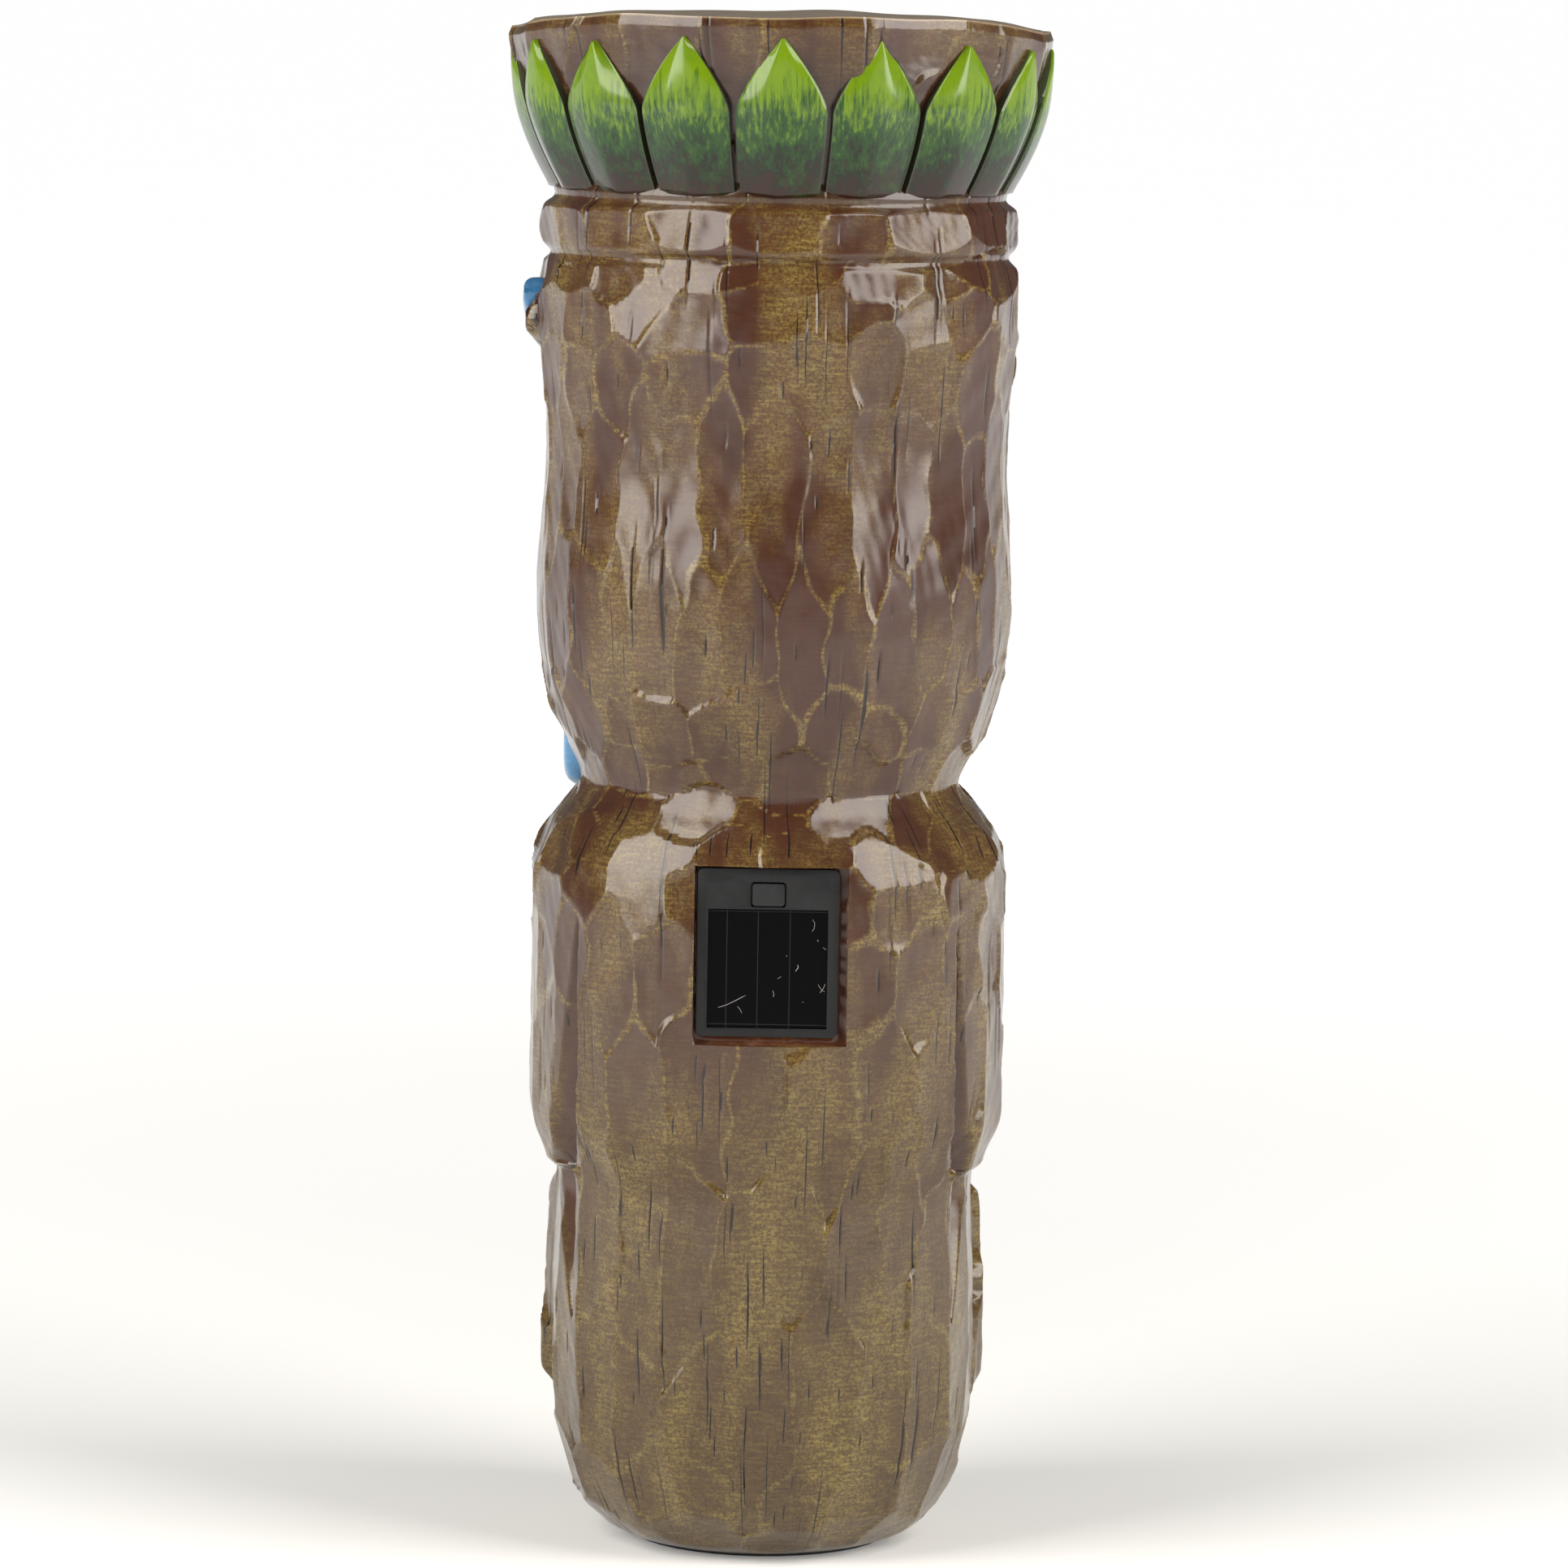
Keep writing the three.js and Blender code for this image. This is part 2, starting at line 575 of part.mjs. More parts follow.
function moduleGasket() {
  const ring = roundedRect(bezelWidth - gap, bezelHeight - gap, bezelCorner);
  const inner = roundedRect(bezelWidth - 2 * moduleWall + gap, bezelHeight - 2 * moduleWall + gap, 0.6);
  const solid = toSolid(plate(ring, gasketFrom, gasketFrom + gasketThickness));
  return toGeometry(cut(solid, plate(inner, gasketFrom - 1, trayFrom + 1)));
}

function moduleScrew(x, z) {
  const headFrom = trayTo - screwHeadThickness;
  const shank = toSolid(barIn(screwRadius, bezelDepth - screwBite, headFrom + 0.1, x, z));
  const head = toSolid(barIn(screwHeadRadius, headFrom, trayTo - sheetGap, x, z));
  const slot = block(2.6, 0.6, trayTo - 0.8, trayTo + 1, x, z);
  const cross = block(0.6, 2.6, trayTo - 0.8, trayTo + 1, x, z);
  return toGeometry(cut(shank.add(head), slot, cross));
}

function powerButton() {
  const cap = plate(roundedRect(buttonWidth, buttonHeight, 1, 0, buttonZ), -buttonProud, flangeFrom + 0.2);
  const flange = block(buttonWidth + 2 * buttonFlange, buttonHeight, flangeFrom, flangeTo, 0, buttonZ);
  const stem = barIn(plungerRadius, flangeTo - 0.2, plungerTo, 0, buttonZ);
  return toGeometry(toSolid(cap).add(toSolid(flange)).add(toSolid(stem)));
}

function switchBody() {
  const body = toSolid(block(switchSize, switchSize, switchFrom, switchFrom + switchDepth, 0, buttonZ));
  const bore = barIn(plungerRadius + gap, switchFrom - 1, plungerTo + buttonTravel + gap, 0, buttonZ);
  return toGeometry(cut(body, bore));
}

const batteryX = -(bossX - bossRadius - batteryPlay - batteryRadius);
const batteryDepth = trayFrom + batteryHeadroom + batteryRadius;
const batteryLow = -batteryLength / 2;

function alongZ(geometry, lift) {
  return geometry.translate(batteryX, -batteryDepth, lift);
}

function batteryContact() {
  const leaf = block(2 * batteryRadius - 1, contactThickness, batteryDepth - 4, batteryDepth + 4);
  return leaf.translate(batteryX, 0, batteryLow + batteryLength + gap + contactThickness / 2);
}

function batterySpring() {
  const rise = bezelHeight / 2 - moduleWall + batteryLow - 2 * gap - 2 * springWire;
  class Coil extends THREE.Curve {
    getPoint(t, target = new THREE.Vector3()) {
      const turn = t * springTurns * 2 * Math.PI;
      const radius = springRadius * (1.25 - 0.45 * t);
      return target.set(radius * Math.cos(turn), radius * Math.sin(turn), t * rise);
    }
  }
  const wire = new THREE.Shape().absarc(0, 0, springWire, 0, 2 * Math.PI);
  const settings = { steps: 24, curveSegments: 3, extrudePath: new Coil(), bevelEnabled: false };
  return alongZ(new THREE.ExtrudeGeometry(wire, settings), -bezelHeight / 2 + moduleWall + gap + springWire);
}

const circuitLeft = batteryX + batteryRadius + gap;
const circuitRight = bossX - bossRadius - circuitPlay;
const circuitWidth = circuitRight - circuitLeft;
const circuitX = (circuitLeft + circuitRight) / 2;

// The silicon strips under the clear cover, side by side.
function cellStrips() {
  const width = (cellSize - 2 - (stripCount - 1) * stripGap) / stripCount;
  return Array.from({ length: stripCount }, (_, i) => {
    const x = (i - (stripCount - 1) / 2) * (width + stripGap);
    const strip = block(width, cellSize - 3, stripFrom, stripFrom + stripThickness, x, windowZ);
    return piece(`cell_strip_${i + 1}`, strip, "silicon");
  });
}

function circuitPieces() {
  const z = buttonZ + switchSize / 2 - circuitHeight / 2;
  const from = circuitTo + sheetGap;
  const board = block(circuitWidth, circuitHeight, circuitFrom, circuitTo, circuitX, z);
  const coil = barIn(coilRadius, from, from + coilHeight, circuitX + 3, z + 8, 16);
  const chip = block(chipSize[0], chipSize[1], from, from + chipSize[2], circuitX - 4, z + 6);
  return [
    piece("circuit_board", board, "board"),
    piece("boost_coil", coil, "copper"),
    piece("driver_chip", chip, "blackPlastic"),
  ];
}

function batteryCell() {
  const can = batteryLength - batteryNub;
  const foot = [[0, 0], [batteryRadius, 0], [batteryRadius, can]];
  const nub = [[batteryNubRadius, can], [batteryNubRadius, batteryLength], [0, batteryLength]];
  return alongZ(turned([...foot, ...nub], 20), batteryLow);
}

function leadGrommet() {
  const flangeFrom = trayTo + sheetGap;
  const flangeTo = flangeFrom + grommetFlangeThickness;
  const collar = toSolid(barIn(grommetRadius, floorFrom - 0.5, flangeFrom + 0.1, passX, passZ, 16));
  const flange = toSolid(barIn(grommetRadius + grommetFlange, flangeFrom, flangeTo, passX, passZ, 16));
  const bores = [-1, 1].map((sign) => {
    const x = passX + sign * (leadRadius + gap);
    return barIn(leadRadius + sheetGap, floorFrom - 2, flangeTo + 1, x, passZ);
  });
  return toGeometry(cut(collar.add(flange), ...bores));
}

function moduleSealant() {
  const [from, to, fit] = [sealantDepth, sealantDepth + sealantHeight, 2 * sheetGap];
  const outer = block(pocketWidth - fit, pocketHeight - fit, from, to, pocketX, pocketZ);
  const inner = block(bezelWidth + fit, bezelHeight + fit, from - 1, to + 1);
  return toGeometry(cut(toSolid(outer), inner));
}

// ---------------------------------------------------------------- lit eyes

const lampBack = -lensSpigot - gap - lampLength;
const holderRadius = eyeBore / 2 - gap / 2;

// Each eye's pieces, about an axis that points out of the face.
function eyeLens() {
  const spigot = holderRadius;
  const dome = new THREE.EllipseCurve(0, gap + 1, lensRadius, lensRise - 1, 0, Math.PI / 2).getPoints(4);
  const rim = dome.slice(0, -1).map((p) => [p.x, p.y]);
  const stem = [[0, -lensSpigot], [spigot, -lensSpigot], [spigot, gap], [lensRadius, gap]];
  return turned([...stem, ...rim, [0, gap + lensRise]], 24);
}

function eyeLamp() {
  const front = -lensSpigot - gap;
  const shoulder = front - lampRadius;
  const dome = new THREE.EllipseCurve(0, shoulder, lampRadius, lampRadius, 0, Math.PI / 2).getPoints(3);
  const cap = dome.slice(0, -1).map((p) => [p.x, p.y]);
  const flange = lampRadius + lampFlange;
  const base = [[0, lampBack], [flange, lampBack], [flange, lampBack + 1], [lampRadius, lampBack + 1]];
  return turned([...base, ...cap, [0, front]], 12);
}

function eyeHolder() {
  const inner = lampRadius + gap;
  const recess = lampRadius + lampFlange + gap;
  const flange = eyeBore / 2 + holderFlange;
  const [top, low] = [-eyeWall - gap, -eyeWall - gap - holderFlangeThickness];
  const reach = -lensSpigot - gap;
  const seat = lampBack + 1 + gap;
  const outside = [[recess, low], [flange, low], [flange, top], [holderRadius, top], [holderRadius, reach]];
  return turned([...outside, [inner, reach], [inner, seat], [recess, seat], [recess, low]], 16);
}

// One flex from the grommet, up the inside of the figure, to the back of one eye's lamp.
function eyeLead(sign) {
  const start = new THREE.Vector3(passX + sign * (leadRadius + gap), bezelY - floorFrom + 2, moduleZ + passZ);
  const clear = new THREE.Vector3(start.x, bezelY - pocketDepth - pocketFloor - 2, start.z);
  const behind = new THREE.Vector3(start.x, clear.y - 8, start.z);
  const end = new THREE.Vector3(0, 0, lampBack - gap).applyMatrix4(eyeFrame(sign));
  const before = new THREE.Vector3(0, 0, lampBack - 18).applyMatrix4(eyeFrame(sign));
  const waist = new THREE.Vector3(sign * 12, 12, 0.504 * height);
  const rising = new THREE.Vector3(sign * 20, 2, 0.64 * height);
  const route = [start, clear, behind, waist, rising, before, end];
  const extrudePath = new THREE.CatmullRomCurve3(route, false, "centripetal");
  const section = new THREE.Shape().absarc(0, 0, leadRadius, 0, 2 * Math.PI);
  const settings = { steps: 28, curveSegments: 4, extrudePath, bevelEnabled: false };
  return new THREE.ExtrudeGeometry(section, settings);
}

function litEyes() {
  const group = new THREE.Group();
  for (const [side, sign] of [["left", 1], ["right", -1]]) {
    const eye = new THREE.Group();
    eye.applyMatrix4(eyeFrame(sign));
    eye.add(piece(`eye_lens_${side}`, eyeLens(), "lens"));
    eye.add(piece(`eye_lamp_${side}`, eyeLamp(), "clear"));
    eye.add(piece(`eye_lamp_holder_${side}`, eyeHolder(), "blackPlastic"));
    group.add(eye);
  }
  return group;
}

// ---------------------------------------------------------------- assembly

const solarModule = new THREE.Group();
solarModule.position.set(0, bezelY, moduleZ);
const cover = block(cellSize, cellSize, coverFrom, coverFrom + coverThickness, 0, windowZ);
const cellBoard = block(cellSize, cellSize, cellBoardFrom, cellStackTo, 0, windowZ);
solarModule.add(
  piece("module_bezel", moduleBezel(), "blackPlastic"),
  piece("module_tray", moduleTray(), "blackPlastic"),
  piece("module_gasket", moduleGasket(), "greyRubber"),
  piece("module_sealant", moduleSealant(), "sealant"),
  piece("cell_cover", cover, "clear"),
  piece("cell_board", cellBoard, "board"),
  piece("power_button", powerButton(), "greyRubber"),
  piece("switch_body", switchBody(), "blackPlastic"),
  piece("battery", batteryCell(), "sleeve"),
  piece("battery_contact", batteryContact(), "steel"),
  piece("battery_spring", batterySpring(), "steel"),
  piece("lead_grommet", leadGrommet(), "greyRubber"),
  ...cellStrips(),
  ...circuitPieces(),
  ...bossPlaces.map(([x, z], i) => piece(`module_screw_${i + 1}`, moduleScrew(x, z), "steel")),
);

const figure = new THREE.Group();
figure.add(
  piece("figure_casting", figureCasting(), "castResin"),
  piece("base_plate", basePlate(), "castResin"),
  solarModule,
  litEyes(),
  piece("eye_lead_left", eyeLead(1), "redLead"),
  piece("eye_lead_right", eyeLead(-1), "blackLead"),
);

export default figure;
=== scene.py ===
# Solar tiki figure: the looks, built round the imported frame.
# Shapes are worked out in millimetres in the row frame and written to the meshes in metres.
import json
import math
from functools import partial

import bmesh
import bpy
import numpy as np
from mathutils import Matrix, Vector

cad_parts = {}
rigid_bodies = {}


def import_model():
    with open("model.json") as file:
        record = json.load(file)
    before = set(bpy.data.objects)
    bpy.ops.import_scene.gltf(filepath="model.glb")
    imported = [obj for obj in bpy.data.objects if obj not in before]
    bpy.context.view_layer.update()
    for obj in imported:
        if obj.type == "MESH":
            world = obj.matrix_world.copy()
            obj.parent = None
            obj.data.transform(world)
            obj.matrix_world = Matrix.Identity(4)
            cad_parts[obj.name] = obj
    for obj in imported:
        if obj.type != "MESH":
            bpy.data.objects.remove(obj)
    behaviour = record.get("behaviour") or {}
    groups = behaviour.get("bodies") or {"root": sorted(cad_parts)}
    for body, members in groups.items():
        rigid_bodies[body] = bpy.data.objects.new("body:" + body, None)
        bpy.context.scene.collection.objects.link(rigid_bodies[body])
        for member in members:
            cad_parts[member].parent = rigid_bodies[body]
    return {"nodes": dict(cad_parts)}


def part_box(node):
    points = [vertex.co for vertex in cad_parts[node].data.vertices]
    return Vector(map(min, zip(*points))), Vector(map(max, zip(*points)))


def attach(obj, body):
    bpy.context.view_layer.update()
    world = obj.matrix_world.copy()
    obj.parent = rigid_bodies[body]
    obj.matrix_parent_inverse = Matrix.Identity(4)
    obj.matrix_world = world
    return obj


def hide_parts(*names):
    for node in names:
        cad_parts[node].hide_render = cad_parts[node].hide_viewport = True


for leftover in list(bpy.data.objects):
    bpy.data.objects.remove(leftover)
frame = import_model()
bpy.context.view_layer.update()
nodes = frame["nodes"]
print("frame loaded:", len(nodes), "nodes")


sharpAngle = 52  # degrees between faces from which their edge is drawn sharp
meanRadius = 76  # mm, to turn a length round the body into an angle


def nodeBox(name):
    # lowest and highest corner of a frame node, in millimetres
    low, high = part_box(name)
    return np.array(low) * 1000, np.array(high) * 1000


def smoothStep(x, low, high):
    # 0 below low, 1 above high, and 3t^2 - 2t^3 between
    t = np.clip((x - low) / (high - low), 0, 1)
    return t * t * (3 - 2 * t)


def between(x, low, high, soft):
    # 1 from low to high, falling to 0 within soft on either side
    return smoothStep(x, low - soft, low + soft) * (1 - smoothStep(x, high - soft, high + soft))


def throughStations(x, stations, column):
    # smooth curve through the stations: cubic pieces whose slopes are the central differences
    xs, ys = stations[:, 0], stations[:, column]
    slopes = np.gradient(ys, xs)
    i = np.clip(np.searchsorted(xs, x) - 1, 0, len(xs) - 2)
    span = xs[i + 1] - xs[i]
    t = (x - xs[i]) / span
    return (ys[i] * (1 + 2 * t) * (1 - t) ** 2 + slopes[i] * span * t * (1 - t) ** 2
            + ys[i + 1] * t * t * (3 - 2 * t) + slopes[i + 1] * span * t * t * (t - 1))


def onBody(turn, z, radius):
    # points from turn, height and radius
    return np.stack(np.broadcast_arrays(radius * np.sin(turn), radius * np.cos(turn), z), -1)


def wrapped(turn):
    # the same turn, from -pi to pi
    return (turn + math.pi) % (2 * math.pi) - math.pi


def ringAngles(count):
    # even angles once round
    return np.arange(count) / count * 2 * math.pi


def easedSpan(steps):
    # from -1 to 1 in steps that shrink towards both ends: the sine of an even span
    return np.sin(np.linspace(-1, 1, steps + 1) * math.pi / 2)


def quarterRound(x):
    # a quarter of a circle: sqrt(1 - (1 - x)^2) up to x = 1, and 1 beyond
    return np.sqrt(np.clip(1 - (1 - np.minimum(x, 1)) ** 2, 0, 1))


def drift(points, size, seed, count=7):
    # smooth wandering value from about -1 to 1: the mean of sine waves of random direction, each about
    # size mm long
    chance = np.random.default_rng(seed)
    ways = chance.normal(size=(count, 3)) * (2 * math.pi / size)
    starts = chance.uniform(0, 2 * math.pi, count)
    total = sum(np.sin(points @ way + start) for way, start in zip(ways, starts))
    return total / count * 1.6


def makeMesh(name, points, quads, triangles=(), attributes=None):
    # one mesh object from points in millimetres, quads and triangles
    mesh = bpy.data.meshes.new(name)
    points = np.asarray(points, dtype=np.float64).reshape(-1, 3) / 1000
    quads = np.asarray(quads, dtype=np.int32).reshape(-1, 4)
    triangles = np.asarray(triangles, dtype=np.int32).reshape(-1, 3)
    corners = np.concatenate([quads.ravel(), triangles.ravel()])
    sizes = np.concatenate([np.full(len(quads), 4), np.full(len(triangles), 3)]).astype(np.int32)
    mesh.vertices.add(len(points))
    mesh.vertices.foreach_set("co", points.astype(np.float32).ravel())
    mesh.loops.add(len(corners))
    mesh.loops.foreach_set("vertex_index", corners)
    mesh.polygons.add(len(sizes))
    mesh.polygons.foreach_set("loop_start", (np.cumsum(sizes) - sizes).astype(np.int32))
    mesh.polygons.foreach_set("loop_total", sizes)
    mesh.polygons.foreach_set("use_smooth", np.full(len(sizes), True))
    mesh.update(calc_edges=True)
    mesh.set_sharp_from_angle(angle=math.radians(sharpAngle))
    for key, values in (attributes or {}).items():
        layer = mesh.attributes.new(key, "FLOAT", "POINT")
        layer.data.foreach_set("value", np.asarray(values, dtype=np.float32).ravel())
    piece = bpy.data.objects.new(name, mesh)
    bpy.context.scene.collection.objects.link(piece)
    return piece


def tubeFaces(rows, columns, closedRows=False):
    # quads of a grid whose columns close round; with closedRows its rows close round too
    row = np.arange(rows if closedRows else rows - 1)[:, None]
    column = np.arange(columns)[None, :]
    above, beside = (row + 1) % rows, (column + 1) % columns
    corners = (row, column), (row, beside), (above, beside), (above, column)
    return np.stack([(r * columns + c).ravel() for r, c in corners], 1)


def outward(name, points, quads, triangles=(), attributes=None):
    # makes the mesh, and turns it round if the volume that its faces enclose comes out negative
    flat = np.asarray(points, dtype=float).reshape(-1, 3)
    quads = np.asarray(quads).reshape(-1, 4)
    triangles = np.asarray(triangles, dtype=int).reshape(-1, 3)
    halves = np.concatenate([quads[:, :3], quads[:, [0, 2, 3]], triangles])
    a, b, c = (flat[halves[:, k]] for k in (0, 1, 2))
    if np.einsum("ij,ij->i", a, np.cross(b, c)).sum() < 0:
        quads, triangles = quads[:, ::-1], triangles[:, ::-1]
    return makeMesh(name, flat, quads, triangles, attributes)


def fan(pole, ring, reverse=False):
    # triangles from one pole point to a closed ring of points
    beside = np.roll(ring, -1)
    turned = (beside, ring) if reverse else (ring, beside)
    return np.stack([np.full(len(ring), pole), *turned], 1)


def cappedTube(name, rings, attributes=None, poles=None):
    # closed skin from rings of points: rows by columns by 3, with a fan to a pole at each end
    rows, columns = rings.shape[:2]
    poles = poles if poles is not None else (rings[0].mean(0), rings[-1].mean(0))
    points = np.concatenate([rings.reshape(-1, 3), [poles[0]], [poles[1]]])
    ring, count = np.arange(columns), rows * columns
    ends = [fan(count, ring, True), fan(count + 1, ring + count - columns)]
    values = {key: np.concatenate([np.asarray(grid).ravel(), [np.mean(grid[0]), np.mean(grid[-1])]])
              for key, grid in (attributes or {}).items()}
    return outward(name, points, tubeFaces(rows, columns), np.concatenate(ends), values)


def place(piece, body, slot, *replaced):
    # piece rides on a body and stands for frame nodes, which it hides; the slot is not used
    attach(piece, body)
    if replaced:
        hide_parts(*replaced)
    return piece


# the carved figure is a surface round its axis, in mm: turn 0 is the back, and it grows towards the
# figure's left
figureShape = {
    # height, half width, half depth behind, half depth in front
    "stations": np.array([
        (0, 40.0, 40.0, 40.0), (3, 47.5, 47.5, 47.5), (7, 53.5, 53.5, 53.5), (12, 58.2, 58.2, 58.0),
        (18, 62.0, 62.0, 61.6), (26, 65.4, 65.4, 65.0), (36, 68.2, 68.4, 67.6), (50, 70.0, 70.6, 69.4),
        (80, 70.6, 72.4, 70.2), (95, 70.2, 73.2, 70.2), (110, 69.4, 73.8, 70.0), (122, 69.2, 74.2, 70.2),
        (135, 71.6, 74.8, 71.5), (150, 74.5, 76.0, 72.5), (170, 76.0, 77.0, 73.5), (200, 76.5, 77.3, 74.0),
        (225, 76.4, 76.8, 73.5), (237, 73.6, 74.8, 71.0), (245, 70.0, 70.8, 67.5), (251, 65.4, 67.0, 64.0),
        (256, 63.2, 65.4, 62.5), (263, 65.8, 67.0, 64.0), (271, 69.8, 70.0, 67.0), (280, 73.6, 73.0, 70.0),
        (290, 76.0, 75.0, 72.0), (305, 78.3, 77.0, 74.0), (320, 78.9, 77.5, 75.0), (340, 77.8, 76.8, 74.5),
        (360, 76.4, 75.8, 73.5), (375, 76.7, 76.0, 73.5), (392, 78.4, 77.2, 74.5), (408, 79.1, 78.2, 75.5),
        (419, 78.8, 77.8, 75.5), (426, 77.4, 76.6, 74.5), (429.5, 75.6, 75.0, 73.5), (432, 76.2, 75.6, 73.8),
        (435.5, 77.4, 76.8, 75.0), (440, 77.6, 77.0, 75.2), (445, 76.4, 75.8, 74.0),
        (448.5, 74.4, 73.8, 72.5), (452, 75.6, 75.0, 74.0), (456, 77.8, 77.2, 76.2),
        (461, 80.4, 79.8, 78.8), (468, 83.6, 83.0, 82.0),
        (478, 87.0, 86.2, 85.0), (488, 88.6, 87.6, 86.4), (499, 89.2, 88.0, 86.8), (505, 88.7, 87.4, 86.4),
        (508, 87.6, 86.4, 85.6)]),
    "squareness": 2.35,  # how square the torso's section is; 2 is an oval
    "columns": 560,
    "crowding": 0.3,  # how much closer the columns lie at the back
    "wall": 6.5,
}
armShape = {"from": 66, "to": 124, "low": 126.5, "high": 238, "reach": 78.9, "elbow": 5.5}  # degrees, mm
templeBump = {"from": 78, "to": 104, "low": 402, "high": 412, "lift": 3.2}  # the brow's end, on the left only
armGroove = {"edge": 62.3, "wide": 8.5, "low": 127.5, "high": 214, "depth": 8.5}  # mm aside, across and in
hipNotch = {"edge": 62.3, "wide": 7.0, "low": 78, "high": 127.5, "depth": 6.5}
frontRelief = {
    "forearm": {"from": 112, "to": 163, "low": 134, "high": 167, "lift": 7.0},
    "thigh": {"from": 98, "to": 166, "low": 50, "high": 117, "lift": 4.5},
    "foot": {"from": 112, "to": 171, "low": 7, "high": 34, "lift": 6.0},
    "fingers": {"levels": (142.5, 150.5, 158.5), "from": 147, "to": 166, "half": 1.3, "depth": 2.2},
    "toes": {"turns": (134, 143, 152, 161), "low": 4, "high": 23, "half": 1.5, "depth": 2.2},
    "legGap": {"half": 4, "low": 16, "high": 104, "depth": 6.0},
    "armGap": {"at": 116, "half": 4, "low": 172, "high": 226, "depth": 3.5},
}
crownShape = {"base": 449.5, "notch": 478, "rim": 505, "recess": 4.4, "droop": 5}
faceTurn = 3  # degrees; the face looks a little to the figure's left
moduleLow, moduleHigh = nodeBox("module_bezel")
sealantLow, sealantHigh = nodeBox("module_sealant")
trayLow = nodeBox("module_tray")[0]
pocket = {
    # its outline stands 0.15 mm outside the sealant's
    "left": sealantHigh[0] + 0.15, "right": sealantLow[0] - 0.15,
    "low": sealantLow[2] - 0.15, "high": sealantHigh[2] + 0.15,
    "floor": trayLow[1] - 1.8, "wall": 4,
}


def coreRadius(z, turn):
    # distance from the axis to the plain body: a superellipse whose half width and half depth follow the
    # stations
    wide = throughStations(z, figureShape["stations"], 1)
    back = throughStations(z, figureShape["stations"], 2)
    front = throughStations(z, figureShape["stations"], 3)
    lean = smoothStep(np.cos(turn), -0.25, 0.25)
    deep = front + (back - front) * lean
    power = 2 + (figureShape["squareness"] - 2) * between(z, 135, 240, 12)
    return (np.abs(np.sin(turn) / wide) ** power + np.abs(np.cos(turn) / deep) ** power) ** (-1 / power)


def bodyRadius(z, turn):
    # the plain body with its arms: the larger of the two where the arm's band of turn and height is 1
    side = np.abs(np.degrees(turn))
    core = coreRadius(z, turn)
    arm = armShape
    share = between(side, arm["from"], arm["to"], 2.5)
    share = share * smoothStep(z, arm["low"] - 1.6, arm["low"] + 2.6)
    share = share * (1 - smoothStep(z, arm["high"] - 18, arm["high"] + 8))
    reach = arm["reach"] - arm["elbow"] * (1 - smoothStep(z, arm["low"], arm["low"] + 26)) ** 2
    lifted = np.maximum(core, core + (reach - core) * share)
    end = templeBump
    temple = between(np.degrees(turn), end["from"], end["to"], 4) * between(z, end["low"], end["high"], 2.5)
    lifted = lifted + end["lift"] * temple
    for part in ("forearm", "thigh", "foot"):
        bump = frontRelief[part]
        share = between(side, bump["from"], bump["to"], 4) * between(z, bump["low"], bump["high"], 4)
        lifted = lifted + bump["lift"] * share
    return lifted


def carvedHollows(z, turn, plain):
    # depth of the straight cuts: a groove behind each arm that widens downwards, and a notch behind each
    # thigh that widens upwards; across, each falls steeply at the back's edge and rises slowly towards the
    # limb. Then the gaps between the legs and beside the arms, the fingers and the toes
    degrees = np.degrees(turn)
    side = np.abs(degrees)
    aside = plain * np.abs(np.sin(turn))
    depth = np.zeros_like(plain)
    for cut in (armGroove, hipNotch):
        share = np.clip((z - cut["low"]) / (cut["high"] - cut["low"]), 0, 1)
        if cut is armGroove:
            fill = (1 - share) ** 0.75 * smoothStep(z, cut["low"] - 1.2, cut["low"] + 1.2)
        else:
            fill = share ** 0.55 * (z < cut["high"] + 1.2)
        wide = cut["wide"] * np.maximum(fill, 0.05) * np.where(degrees > 0, 1.0, 0.7)
        across = (aside - cut["edge"]) / wide
        shape = np.clip(np.minimum(across / 0.3, (1 - across) / 0.7), 0, 1)
        depth = np.maximum(depth, cut["depth"] * fill ** 0.6 * shape * (np.cos(turn) > 0))
    gap = frontRelief["legGap"]
    inGap = (1 - smoothStep(180 - side, 0, gap["half"])) * between(z, gap["low"], gap["high"], 8)
    depth = depth + gap["depth"] * inGap
    fingers, toes = frontRelief["fingers"], frontRelief["toes"]
    for level in fingers["levels"]:
        cut = np.clip(1 - np.abs(z - level) / fingers["half"], 0, 1)
        depth = depth + fingers["depth"] * cut * between(side, fingers["from"], fingers["to"], 1.5)
    for middle in toes["turns"]:
        cut = np.clip(1 - np.abs(side - middle) / toes["half"], 0, 1)
        depth = depth + toes["depth"] * cut * between(z, toes["low"], toes["high"], 2)
    gap = frontRelief["armGap"]
    inGap = np.clip(1 - np.abs(side - gap["at"]) / gap["half"], 0, 1)
    return depth + gap["depth"] * (inGap * between(z, gap["low"], gap["high"], 12))


def crownRecess(z):
    # the bowl leans in behind the leaves: nothing at the rim, deepest at the notches, gone under the leaves
    share = np.clip((crownShape["rim"] - z) / (crownShape["rim"] - crownShape["notch"]), 0, 1)
    return crownShape["recess"] * share ** 0.8 * smoothStep(z, crownShape["base"], crownShape["base"] + 7)


# adze cuts: flat facets, each the plane that touches the body at its own middle
adzeCuts = {
    # height of a row's middle, height of its cuts, width of its cuts
    "rows": [(7, 16, 26), (25, 24, 24), (60, 54, 21), (107, 58, 19), (157, 58, 20), (197, 38, 21),
             (221, 22, 24), (237, 16, 26), (249, 11, 25), (262, 15, 22), (279, 22, 19), (311, 52, 16),
             (357, 62, 16), (393, 28, 22), (411, 18, 25), (423, 10, 22), (438.5, 15, 27), (494, 30, 28)],
    "turnScatter": 0.3, "heightScatter": 0.24,  # as shares of a cut's own size
    "depthScatter": 0.2,  # mm
    "tilt": 1.5,  # degrees
    "hollow": 0.18,  # mm that each cut is scooped out
    "sharpness": 0.05,
    "seed": 11,
}


